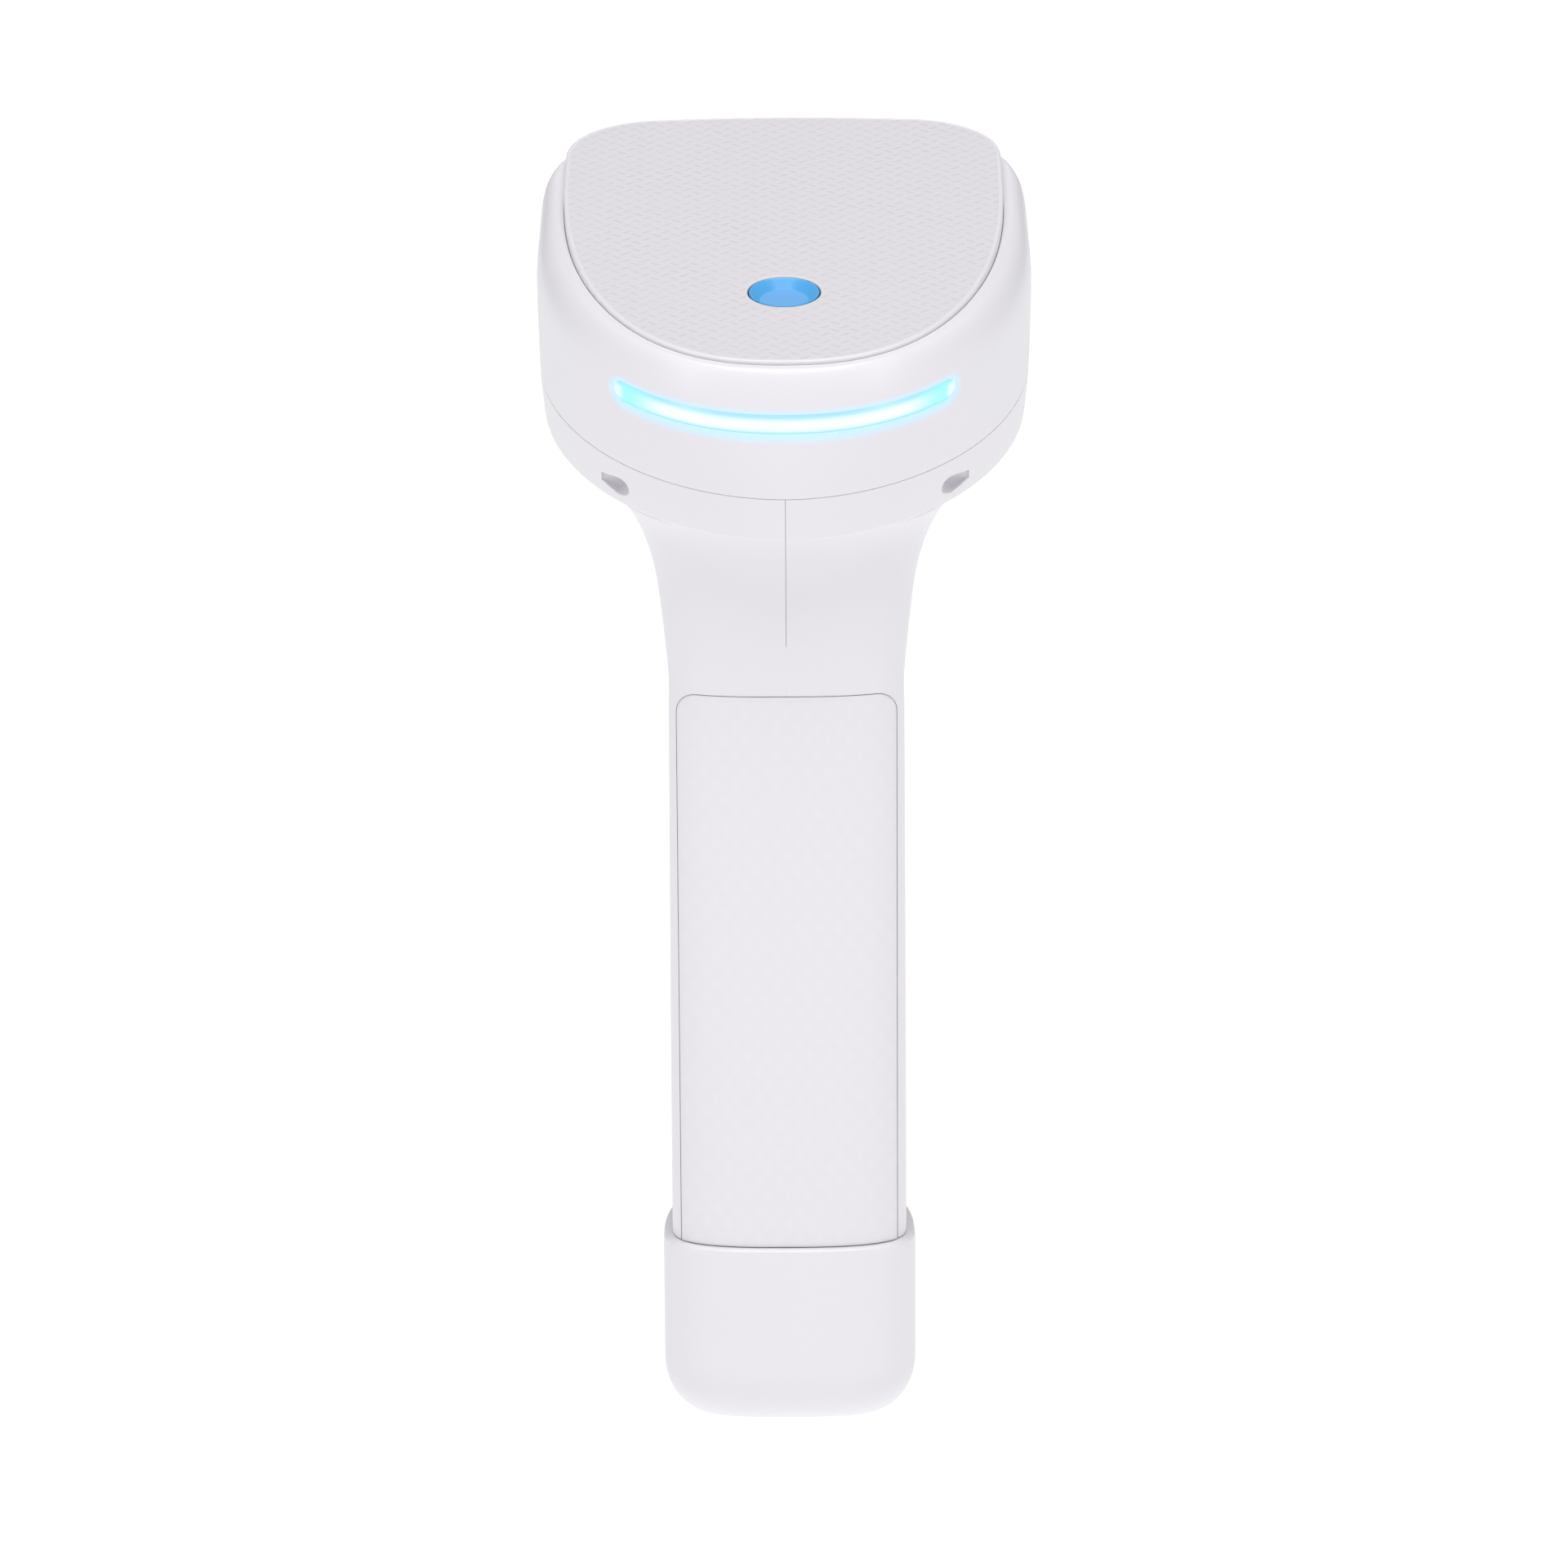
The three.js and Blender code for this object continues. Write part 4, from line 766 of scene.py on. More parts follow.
def lit_diffuser(name, core, mantle, edge):
    """Clear light guide, lit from behind: white in the middle, blue at its edges, cyan at its ends."""
    h = SIZES.head
    material, tree, shader, place = new_surface(name, 0.25, 1.58)
    x, _, w = head_coordinates(tree, place)
    across = node(tree, "ShaderNodeMath", {0: w, 1: h.bar_depth + 0.25}, operation="ADD").outputs[0]
    across = node(tree, "ShaderNodeMath", {0: across}, operation="ABSOLUTE").outputs[0]
    across = node(
        tree,
        "ShaderNodeMapRange",
        {"Value": across, "From Min": 0.35, "From Max": 1.35},
        interpolation_type="SMOOTHSTEP",
    ).outputs[0]
    away = node(tree, "ShaderNodeMath", {0: x}, operation="ABSOLUTE").outputs[0]
    patch = node(
        tree,
        "ShaderNodeMapRange",
        {"Value": away, "From Min": 16.0, "From Max": 22.0},
        interpolation_type="SMOOTHSTEP",
    ).outputs[0]
    tip = node(
        tree,
        "ShaderNodeMapRange",
        {"Value": away, "From Min": 22.2, "From Max": 22.9, "To Min": 1.0, "To Max": 0.25},
        interpolation_type="SMOOTHSTEP",
    ).outputs[0]
    patch = node(tree, "ShaderNodeMath", {0: patch, 1: tip}, operation="MULTIPLY").outputs[0]
    middle = shade(tree, across, rgba(core), rgba(mantle))
    colour = shade(tree, patch, middle, rgba(edge))
    tree.links.new(colour, shader.inputs["Emission Color"])
    shader.inputs["Emission Strength"].default_value = 1.05
    shader.inputs["Base Color"].default_value = rgba(core, 0.05)
    return material


def brushed_metal(name, colour, roughness):
    """Metal with fine turning or drawing marks."""
    material, tree, shader, place = new_surface(name, roughness, metallic=1.0)
    stretched = node(
        tree, "ShaderNodeMapping", {"Vector": place, "Scale": (1.0, 12.0, 1.0)}
    )
    marks = node(
        tree,
        "ShaderNodeTexNoise",
        {"Vector": stretched.outputs[0], "Scale": 1 / 0.0012, "Detail": 4.0},
    )
    tree.links.new(
        shade(tree, marks.outputs["Fac"], rgba(colour, 0.9), rgba(colour, 1.05)),
        shader.inputs["Base Color"],
    )
    rough = node(
        tree,
        "ShaderNodeMapRange",
        {"Value": marks.outputs["Fac"], "To Min": roughness - 0.06, "To Max": roughness + 0.08},
    )
    tree.links.new(rough.outputs[0], shader.inputs["Roughness"])
    return material


def solder_masked_board(name):
    """FR-4 circuit board under green solder mask, with copper tracks raised a little beneath it."""
    material, tree, shader, place = new_surface(name, 0.3)
    tracks = node(
        tree,
        "ShaderNodeTexBrick",
        {
            "Vector": place,
            "Scale": 1 / 0.0035,
            "Mortar Size": 0.04,
            "Color1": rgba(linear(0x1C5C38)),
            "Color2": rgba(linear(0x226B42)),
            "Mortar": rgba(linear(0x3B8A5A)),
        },
    )
    tree.links.new(tracks.outputs["Color"], shader.inputs["Base Color"])
    bump = node(
        tree,
        "ShaderNodeBump",
        {"Strength": 0.4, "Distance": 0.00004, "Height": tracks.outputs["Fac"]},
    )
    tree.links.new(bump.outputs["Normal"], shader.inputs["Normal"])
    return material


def tinted_glass(name, colour, roughness=0.03):
    """Coated acrylic or glass that lets a little light through, with faint dust on it."""
    material, tree, shader, place = new_surface(name, roughness, 1.49)
    dust = node(tree, "ShaderNodeTexNoise", {"Vector": place, "Scale": 1 / 0.004, "Detail": 5.0})
    rough = node(
        tree,
        "ShaderNodeMapRange",
        {"Value": dust.outputs["Fac"], "To Min": roughness, "To Max": roughness + 0.08},
    )
    tree.links.new(rough.outputs[0], shader.inputs["Roughness"])
    tint_colour = shade(tree, dust.outputs["Fac"], rgba(colour, 0.95), rgba(colour, 1.05))
    tree.links.new(tint_colour, shader.inputs["Base Color"])
    shader.inputs["Transmission Weight"].default_value = 0.75
    return material


FINISH = {}


def finish_for(kind):
    """The object's materials, each made once."""
    if kind not in FINISH:
        colours = bpy.context.scene.scanner_finish
        makers = {
            "shell": lambda: moulded_plastic("white_abs", colours.shell, 0.36, 0.0004, 0.0000015),
            "cover": lambda: lit_shell_plastic("translucent_white_abs", colours.shell, colours.halo),
            "plate": lambda: woven_look_plate("herringbone_polycarbonate", colours.plate),
            "plate_rim": lambda: moulded_plastic(
                "polished_plate_rim", linear(0xE4E2E7), 0.4, 0.0004, 1e-6
            ),
            "panel": lambda: diamond_grip("soft_touch_panel", colours.panel),
            "button": lambda: moulded_plastic("blue_abs", colours.button, 0.3, 0.0004, 1e-6, 0.03),
            # A lighter copy of the button's blue for the dish floor: painted light.
            "dish": lambda: moulded_plastic("blue_abs_dish_painted_light", colours.dish, 0.34, 0.0004, 1e-6, 0.03),
            "bar": lambda: lit_diffuser("lit_light_guide", colours.core, colours.mantle, colours.glow),
            "dark": lambda: moulded_plastic(
                "black_polycarbonate", linear(0x1C1D20), 0.42, 0.0005, 3e-6, 0.1
            ),
            "trigger": lambda: moulded_plastic("grey_abs", colours.trigger, 0.38, 0.0004, 2e-6, 0.03),
            "rubber": lambda: moulded_plastic(
                "silicone_rubber", linear(0x26272A), 0.75, 0.0006, 6e-6, 0.08
            ),
            "steel": lambda: brushed_metal("zinc_plated_steel", linear(0xB9BCC2), 0.3),
            "gold": lambda: brushed_metal("gold_plated_contact", linear(0xE2B85C), 0.25),
            "board": lambda: solder_masked_board("green_solder_mask"),
            "led": lambda: moulded_plastic(
                "led_encapsulant", linear(0xF4F6F2), 0.25, 0.0005, 2e-6, 0.04
            ),
            "window": lambda: tinted_glass("coated_acrylic_window", linear(0x8E97A8)),
            "lens": lambda: tinted_glass("coated_lens_glass", linear(0x56688F), 0.02),
            "ceramic": lambda: moulded_plastic(
                "antenna_ceramic", linear(0xD9D2C4), 0.5, 0.0003, 4e-6, 0.05
            ),
            "cell": lambda: moulded_plastic("shrink_sleeve", linear(0x2F7F8C), 0.32, 0.002, 8e-6, 0.05),
        }
        FINISH[kind] = makers[kind]()
    return FINISH[kind]


def coat_node(name, kind):
    """Gives a carried-over piece its material."""
    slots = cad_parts[name].data.materials
    slots.clear()
    slots.append(finish_for(kind))


# ---- Head cover ----

RIM_RISE_REAR = 0.75
RIM_RISE_WINDOW = -1.05
HOLLOW_DEPTH = 0.4
HOLLOW_REACH = 2.4
HOLLOW_START = 1.6
WINDOW_CUT = ((-21.0, 74.0, -16.2), (21.0, 95.0, -3.8))
WINDOW_CORNER = 3.0


def cover_rows(h):
    """The cover's rows as (height, outline's height, inset), from the ceiling inside to the seat."""
    inside = [(h.ceiling, h.ceiling, 5.0), (h.ceiling, h.ceiling, 2.7)]
    inside.append((h.ceiling - 0.5, h.ceiling - 0.5, h.wall))
    inside += [(w, w, h.wall) for w in (-9.5, -14.0, -h.cover_depth + 0.3)]
    lip = [(-h.cover_depth, -h.cover_depth, inset) for inset in (2.0, 0.16)]
    lip += [(-h.cover_depth + 0.02, -h.cover_depth, 0.06), (-h.cover_depth + 0.1, -h.cover_depth, 0.015)]
    wall = [(w, w, 0.0) for w in steps(-h.cover_depth + 0.4, -9.9, 12)]
    bar_low = -h.bar_depth - h.bar_height / 2
    wall += [(w, w, 0.0) for w in steps(bar_low, bar_low + h.bar_height, 8)]
    start = math.asin((h.shoulder_depth - 6.1) / (h.shoulder_depth - h.rim_drop))
    for lean in steps(start, math.pi / 2, 22):
        w = -h.shoulder_depth + (h.shoulder_depth - h.rim_drop) * math.sin(lean)
        wall.append((w, w, 0.0))
    rim = [(-h.rim_drop - drop, 0.0, inset) for drop, inset in ((0.0, -0.3), (0.04, -0.12), (0.2, -0.04))]
    return inside + lip + wall + rim + [(h.seat, 0.0, -0.04), (h.seat, 0.0, 3.0)]


def rim_shift(h, u, w):
    """How far the cover's rim stands above its mean height: more at the rear, less towards the window."""
    near = max(0.0, min(1.0, (u - 12.0) / 58.0))
    near = near * near * (3 - 2 * near)
    rise = max(0.0, min(1.0, (w + h.shoulder_depth) / (h.shoulder_depth - h.rim_drop)))
    return mix(RIM_RISE_REAR, RIM_RISE_WINDOW, near) * rise**3


def bar_scoop(h, x, w):
    """How deep the shallow thumbnail hollow past each end of the light bar is."""
    outward = max(0.0, min(1.0, (h.bar_half_span + HOLLOW_REACH - x) / HOLLOW_REACH))
    inward = max(0.0, min(1.0, (x - h.bar_half_span + HOLLOW_START) / HOLLOW_START))
    across = max(0.0, 1 - (abs(w + h.bar_depth) / 2.2) ** 4)
    return HOLLOW_DEPTH * outward**1.5 * inward * across


def make_head_cover():
    """The cover: the head's wall and ceiling, with the light bar's slot and the scan window's opening."""
    h = SIZES.head
    radius = h.bar_height / 2
    span = h.bar_half_span
    marks = steps(0.0, span - radius - 0.5, 26) + steps(span - radius, span, 4)
    marks += [span + d for d in (0.35, 0.75, 1.2, 1.7, HOLLOW_REACH)]
    fronts = [18.0, 15.0, 12.0, 9.0, 6.0, 3.0, 0.0]
    stations = head_columns(marks, fronts, 16, 6, 12)
    rows = cover_rows(h)
    bm = bmesh.new()

    def place(i, j):
        w, plan, inset = rows[j]
        x, u = head_station(head_outline(plan, inset), stations[i])
        if inset == 0.0 and stations[i][0] in (REAR, FLANK) and abs(w + h.bar_depth) < 4:
            x, w = round_end(x, w, span, -h.bar_depth, radius)
            line = head_outline(w, bar_scoop(h, x, w))
            x = min(x, line.half)
            u = rear_edge(line, x)
        if inset <= 0 and (plan == w or w > -h.plate):
            w += rim_shift(h, u, w)
        return Vector((x, u, w))

    placed_grid(bm, len(stations), len(rows), place)
    mirror_half(bm)
    rims = sorted(open_rims(bm), key=lambda rim: rim_middle(rim).z)
    ceiling, seat = rims[0], rims[-1]
    hole = h.button + h.gap
    top, bottom = round_tube(bm, h.button_place, [(hole, h.seat), (hole, h.ceiling)])
    flat_fill(bm, seat + top)
    flat_fill(bm, ceiling + bottom)
    bmesh.ops.transform(bm, matrix=head_matrix(), verts=bm.verts[:])
    cover = finish_piece(
        bm, "cover_moulding", "housing", ["head_top_cover"], finish_for("cover")
    )
    window = box_cutter(*WINDOW_CUT, WINDOW_CORNER)
    bmesh.ops.transform(window, matrix=head_matrix(), verts=window.verts[:])
    slot = bar_solid(0.0, 2.0, -8.0)
    cut_out(cover, [cutter_object(window, "window_cut"), cutter_object(slot, "light_bar_cut")])
    even_shading(cover)
    return cover


def head_matrix():
    """From the head's own frame to the object's, in millimetres."""
    h = SIZES.head
    return Matrix.Translation((0, h.y, h.z)) @ Matrix.Rotation(h.tilt, 4, "X")


# ---- Top plate, button and light bar ----

PLATE_EDGE = 0.34
DISH_RADIUS = 3.4
BUTTON_STEM = 1.6
BUTTON_FLANGE = 1.3
BAR_PLAY = 0.06
BAR_THICKNESS = 1.4


def make_top_plate():
    """The top plate: a rounded rim round the textured field, with the button's hole."""
    h = SIZES.head
    stations = head_columns(steps(0.0, 28.0, 28), [16.0, 12.0, 8.0, 4.0, 0.0], 14, 5, 14)
    edge = PLATE_EDGE
    rows = [(-h.plate, 0.0), (-edge - 0.3, 0.0)]
    for lean in steps(0.0, math.pi / 2, 6):
        rows.append((-edge + edge * math.sin(lean), edge * (1 - math.cos(lean))))
    rows += [(0.0, edge + 0.12), (-0.03, edge + 0.16), (-0.03, edge + 0.3)]
    bm = bmesh.new()

    def place(i, j):
        w, inset = rows[j]
        x, u = head_station(head_outline(0.0, inset), stations[i])
        return Vector((x, u, w))

    placed_grid(bm, len(stations), len(rows), place)
    mirror_half(bm)
    rims = sorted(open_rims(bm), key=lambda rim: rim_middle(rim).z)
    under, field = rims[0], rims[-1]
    hole = h.button + h.gap - 0.08
    rings = [(hole + 0.3, -0.03), (hole + 0.12, -0.07), (hole, -0.22), (hole, -h.plate)]
    top, bottom = round_tube(bm, h.button_place, rings)
    textured = flat_fill(bm, field + top)
    flat_fill(bm, under + bottom)
    for face in textured:
        face.material_index = 1
    bmesh.ops.transform(bm, matrix=head_matrix(), verts=bm.verts[:])
    plate = finish_piece(
        bm, "top_plate_moulding", "housing", ["top_grip_plate"], finish_for("plate_rim")
    )
    plate.data.materials.append(finish_for("plate"))
    even_shading(plate)
    return plate


def make_button():
    """The button: a dished cap, with the flange that holds it under the cover and its stem."""
    h = SIZES.head
    r, flange = h.button, h.button + BUTTON_FLANGE
    dish = [(0.0, -1.38), (3.2, -1.36), (DISH_RADIUS, -1.33), (3.52, -1.26)]
    lip = [(4.56, -0.24), (4.66, -0.15), (4.78, -0.1), (r - 0.06, -0.14), (r, -0.3)]
    wall = [(r, -4.8), (r, -5.4), (flange, -5.4), (flange, -6.6)]
    stem = [(BUTTON_STEM, -6.6), (BUTTON_STEM, -11.1), (0.0, -11.1)]
    profile = dish + lip + wall + stem
    bm = bmesh.new()
    line = [bm.verts.new((radius, 0.0, w)) for radius, w in profile]
    edges = [bm.edges.new(pair) for pair in zip(line, line[1:])]
    bmesh.ops.spin(
        bm,
        geom=line + edges,
        cent=(0, 0, 0),
        axis=(0, 0, 1),
        angle=2 * math.pi,
        steps=TUBE_SIDES,
        use_merge=True,
    )
    for face in bm.faces:
        middle = face.calc_center_median()
        if math.hypot(middle.x, middle.y) < DISH_RADIUS and middle.z > -2.0:
            face.material_index = 1
    bmesh.ops.translate(bm, verts=bm.verts[:], vec=(0, h.button_place, 0))
    bmesh.ops.transform(bm, matrix=head_matrix(), verts=bm.verts[:])
    button = finish_piece(
        bm, "button_cap", "button", ["function_button"], finish_for("button")
    )
    # The dish floor gets the lighter blue: painted light.
    button.data.materials.append(finish_for("dish"))
    even_shading(button)
    return button


def bar_solid(play, inset, thickness):
    """A solid with the light bar's outline less some play, which starts at inset below the surface."""
    h = SIZES.head
    radius = h.bar_height / 2 - play
    span = h.bar_half_span - play
    marks = steps(0.0, span - radius, 30) + steps(span - radius, span, 5)[1:]
    heights = steps(-h.bar_depth - radius, -h.bar_depth + radius, 10)
    bm = bmesh.new()

    def place(i, j):
        x, w = round_end(marks[i], heights[j], span, -h.bar_depth, radius)
        bulge = ((w + h.bar_depth) / radius) ** 2
        line = head_outline(w, inset + 0.18 * bulge)
        return Vector((x, rear_edge(line, x), w))

    placed_grid(bm, len(marks), len(heights), place)
    mirror_half(bm)
    grown = bmesh.ops.extrude_face_region(bm, geom=bm.faces[:], use_keep_orig=True)["geom"]
    moved = [g for g in grown if isinstance(g, bmesh.types.BMVert)]
    bmesh.ops.translate(bm, verts=moved, vec=(0, thickness, 0))
    bmesh.ops.transform(bm, matrix=head_matrix(), verts=bm.verts[:])
    return bm


def make_light_bar():
    """The light guide that lies in the cover's slot."""
    bm = bar_solid(BAR_PLAY, 0.3 * SIZES.head.bar_recess, BAR_THICKNESS)
    return finish_piece(
        bm, "light_guide", "housing", ["light_bar_lens"], finish_for("bar")
    )


# ---- Left and right shells ----

SEAM_DIP = {0.02: 0.06, 0.04: 0.03, 0.09: 0.008, 0.2: 0.0}
SEAM = list(SEAM_DIP)
ARC_SHARES = (0.76, 0.52, 0.3, 0.12, 0.01)
RECESS_PLAY = 0.15
RECESS_EDGE = (0.07, 0.2)
SLOT_STEPS = 8
SLOT_TAPER = 0.85
SLOT_TAPER_START = 1.6
SLOT_TAPER_LENGTH = 3.9
INNER_SQUEEZE = 0.9
SCREW_HOLE = 2.5
SCREW_WELL = 3.3
WELL_END = -11.4
WELL_FLOOR = -5.9
WELL_HOLE_END = -6.2
COVER_SCREWS = ((28.6, 34.0), (27.0, 74.0))


def slot_reach(h):
    """Offset from the middle at which a lanyard slot's floor runs out through the side of the head."""
    line = head_outline(-h.slot_depth, 0.0)
    return max(x for x in steps(h.slot_inner, 34.0, 200) if rear_edge(line, x) < h.slot_floor - 0.15)


def slot_taper(h, x, w):
    """Draws the lanyard slot together towards the side of the head, where it runs out."""
    share = max(0.0, min(1.0, (x - h.slot_inner - SLOT_TAPER_START) / SLOT_TAPER_LENGTH))
    across = w + h.slot_depth
    half = h.slot_height / 2
    fade = max(0.0, 1 - max(0.0, abs(across) - half) / 1.2)
    return w - math.copysign(min(abs(across), half), across) * SLOT_TAPER * share**1.3 * fade


def shell_rows(h, g):
    """Rows of a half shell: up the outside of the handle, round the head's wall and down the inside."""
    _, top, corner = panel_outline(RECESS_PLAY)
    low = g.foot_height + 0.08
    rows = [("grip", low, 0.22), ("grip", low + 0.05, 0.08), ("grip", low + 0.2, 0.0)]
    rows += [("grip", z, 0.0) for z in steps(low + 3.0, top - corner, 22)]
    rows += [("grip", top - corner * share, 0.0) for share in ARC_SHARES]
    rows += [("grip", top + rise, 0.0) for rise in (0.0, *RECESS_EDGE)]
    rows += [("neck", share, 0.0) for share in steps(0.0, 0.9, 20) + [0.93, 0.955, 0.975, 0.99, 1.0]]
    rows += [
        ("head", -h.depth + 0.5 * (1 - math.cos(lean)), 0.4 * (1 - math.sin(lean)))
        for lean in steps(0.0, math.pi / 2, 7)
    ]
    slot_low = -h.slot_depth - h.slot_height / 2
    rows += [("head", w, 0.0) for w in steps(slot_low, slot_low + h.slot_height, SLOT_STEPS)]
    ledge = -h.cover_depth - 0.04
    rows += [("head", w, 0.0) for w in (-20.7, -20.2, -19.7, ledge - 0.2)]
    rows += [("head", ledge - 0.08, 0.015), ("head", ledge - 0.02, 0.05), ("head", ledge, 0.14)]
    rows += [("head", ledge, 2.0), ("head", ledge - 0.2, h.wall), ("head", -21.5, h.wall)]
    rows += [("head", -h.depth + h.wall, h.wall), ("lift", 1.0, h.wall)]
    rows += [("neck", share, h.wall) for share in (1.0, 0.96, 0.9, 0.8, 0.66, 0.48, 0.25)]
    rows += [("grip", z, h.wall) for z in steps(g.end, low, 5)]
    rows += [("grip", low, 2.0), ("grip", low, 0.22)]
    return rows


def shell_stations(h, g):
    """Matching stations for the handle's rows and the head's rows, from rear seam to front seam."""
    edge, _, corner = panel_outline(RECESS_PLAY)
    handle = [(BACK, x) for x in SEAM + steps(1.0, edge - corner, 12)]
    handle += [(BACK, edge - corner * share) for share in (*ARC_SHARES, 0.0)]
    handle += [(BACK, edge + d) for d in RECESS_EDGE]
    handle += [(SWEEP, edge + RECESS_EDGE[-1], (i + 1) / 10) for i in range(10)]
    reach = slot_reach(h)
    rounded = h.slot_inner + SLOT_TAPER_START
    marks = SEAM + steps(1.0, h.slot_inner - 0.6, 18) + steps(h.slot_inner, rounded, 4)
    marks += steps(rounded, reach, 7)[1:]
    head = head_columns(marks, [14.0, 12.0, 10.0, 8.0, 6.0, 4.0, 2.0] + SEAM[::-1], 9, 6, 8)
    finger = len(head) - len(handle) - len(SEAM)
    handle += [(FINGER, 0.95 * (i + 1) / finger) for i in range(finger)]
    handle += [(BACK, -x) for x in SEAM[::-1]]
    return handle, head, marks


def seam_dip(station, inset, seams):
    """How far the surface dips at a station that lies beside a seam, on the outside only."""
    return SEAM_DIP.get(station[1], 0.0) if station[0] in seams and inset < 1 else 0.0


def handle_place(station, section, inset, z, tilt):
    """A point of the handle or neck, raised towards its front by tilt."""
    if station[0] == BACK and station[1] < 0:
        x = -station[1]
        dip = SEAM_DIP[x] if inset < 1 else 0.0
        half, _, front, _ = section
        d = (front - dip) * (1 - (x / half) ** FINGER_SQUARENESS) ** (1 / FINGER_SQUARENESS)
    else:
        x, d = grip_station(section, station, INNER_SQUEEZE if inset > 1 else 1.0)
        d += seam_dip(station, inset, (BACK,))
    return Vector((x, SIZES.grip.widest + d, z + d * tilt))


def recess_depth(x, z, edge, top):
    """Depth of the grip panel's recess at a point, before its corners are rounded."""
    beyond = max(x - edge, z - top)
    if beyond < -0.005:
        return SIZES.grip.panel_thickness
    return 0.15 if beyond < 0.02 else 0.04 if beyond < 0.1 else 0.0


def make_shell(side):
    """A half shell of the handle and the lower head: side is 1 for the right and -1 for the left."""
    h, g = SIZES.head, SIZES.grip
    rows = shell_rows(h, g)
    handle, head, marks = shell_stations(h, g)
    edge, top, corner = panel_outline(RECESS_PLAY)
    tan = math.tan(h.tilt)
    bm = bmesh.new()
    tag = bm.faces.layers.int.new("slot")

    def grip_place(station, z, inset):
        """A point of the straight grip, sunk where the panel lies."""
        section = grip_section(z, inset)
        if inset >= 1 or station[0] == FINGER or station[1] < 0:
            return handle_place(station, section, inset, z, 0.0)
        x, _ = grip_station(section, station)
        sunk = recess_depth(x, z, edge, top)
        x, z = round_corner(x, z, edge - corner, top - corner, corner, 0.45)
        section = grip_section(z, inset)
        _, d = grip_station(section, (BACK, x))
        dip = SEAM_DIP.get(station[1], 0.0) if sunk < 1 else 0.0
        depth = (sunk + dip) * slant_gain(section, x)
        return Vector((x, g.widest + d, z)) + Vector((0.0, depth, 0.0))

    def neck_place(station, level, inset, lift):
        """A point of the neck, kept inside the head's lower edge."""
        z = g.end + g.neck_rise * level + lift
        tilt = tan * level**1.5
        point = handle_place(station, neck_section(level, inset), inset, z, tilt)
        if station[0] != FINGER and station[1] > 0:
            rim = rear_edge(head_outline(-h.depth, inset + 2.0), point.x)
            limit = head_point(point.x, rim, -h.depth).y - 6 * (1 - level)
            if point.y < limit:
                point.z += (limit - point.y) * tan * level**1.5
                point.y = limit
        return point

    def head_place(station, w, inset):
        """A point of the lower head, with the lanyard slot's outline drawn into its rows."""
        dip = seam_dip(station, inset, (REAR, FRONT))
        line = head_outline(w, inset + dip)
        x, u = head_station(line, station)
        if inset == 0.0 and station[0] == REAR and abs(w + h.slot_depth) < 4:
            flipped, w = round_end(-x, w, -h.slot_inner, -h.slot_depth, h.slot_height / 2)
            x = -flipped
            w = slot_taper(h, x, w)
            u = rear_edge(head_outline(w, dip), x)
        if inset > 1 and x > h.slot_inner - 1.8:
            u = max(u, min(h.slot_floor + 1.8, line.widest))
        return head_point(x, u, w)

    def place(i, j):
        kind, level, inset = rows[j]
        if kind == "grip":
            return grip_place(handle[i], level, inset)
        if kind == "head":
            return head_place(head[i], level, inset)
        return neck_place(handle[i], level, inset, h.wall / h.cos if kind == "lift" else 0.0)

    faces = placed_grid(bm, len(handle), len(rows), place)
    slot_low = -h.slot_depth - h.slot_height / 2
    low = next(j for j, row in enumerate(rows) if row[0] == "head" and abs(row[1] - slot_low) < 1e-6)
    first, last = marks.index(h.slot_inner), len(marks) - 1
    for (i, j), face in faces.items():
        if first <= i < last and low <= j < low + SLOT_STEPS:
            face[tag] = 1
    bmesh.ops.remove_doubles(bm, verts=bm.verts[:], dist=1e-4)
    for rim in open_rims(bm):
        bmesh.ops.contextual_create(bm, geom=rim)
    face_outwards(bm)
    sink_slot(bm, [f for f in bm.faces if f[tag]])
    bm.faces.layers.int.remove(tag)
    if side < 0:
        bmesh.ops.scale(bm, vec=(-1, 1, 1), verts=bm.verts[:])
        bmesh.ops.reverse_faces(bm, faces=bm.faces[:])
    name = "right" if side > 0 else "left"
    shell = finish_piece(
        bm, f"{name}_shell_moulding", "housing", [f"{name}_shell"], finish_for("shell")
    )
    if side < 0:
        wells = [
            bar_cutter(SCREW_WELL, (WELL_END, p.y, p.z), (WELL_FLOOR, p.y, p.z))
            for p in shell_screw_places()
        ]
        cut_out(shell, [cutter_object(well, "screw_well") for well in wells], "UNION")
    cut_out(shell, shell_cutters(side))
    even_shading(shell)
    return shell


def sink_slot(bm, faces):
    """Rounds a lanyard slot's edge and sinks its floor straight into the head."""
    h = SIZES.head
    for inset, depth in ((0.12, 0.02), (0.1, 0.06), (0.02, 0.04)):
        bmesh.ops.inset_region(
            bm, faces=faces, thickness=inset, depth=-depth, use_even_offset=False, use_boundary=True
        )
    forward = Vector((0, h.cos, h.sin))
    up = Vector((0, -h.sin, h.cos))
    origin = Vector((0, h.y, h.z))
    half = h.slot_height / 2
    for vertex in {v for f in faces for v in f.verts}:
        u = (vertex.co - origin).dot(forward)
        w = (vertex.co - origin).dot(up)
        arch = math.sqrt(max(0.0, half * half - (w + h.slot_depth) ** 2))
        floor = h.slot_floor - half + arch
        if u < floor:
            vertex.co += forward * (floor - u)


def shell_screw_places():
    """Middles of the two screws across the handle."""
    boxes = [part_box(name) for name in ("shell_screw_lower", "shell_screw_upper")]
    return [(low + high) * 500 for low, high in boxes]


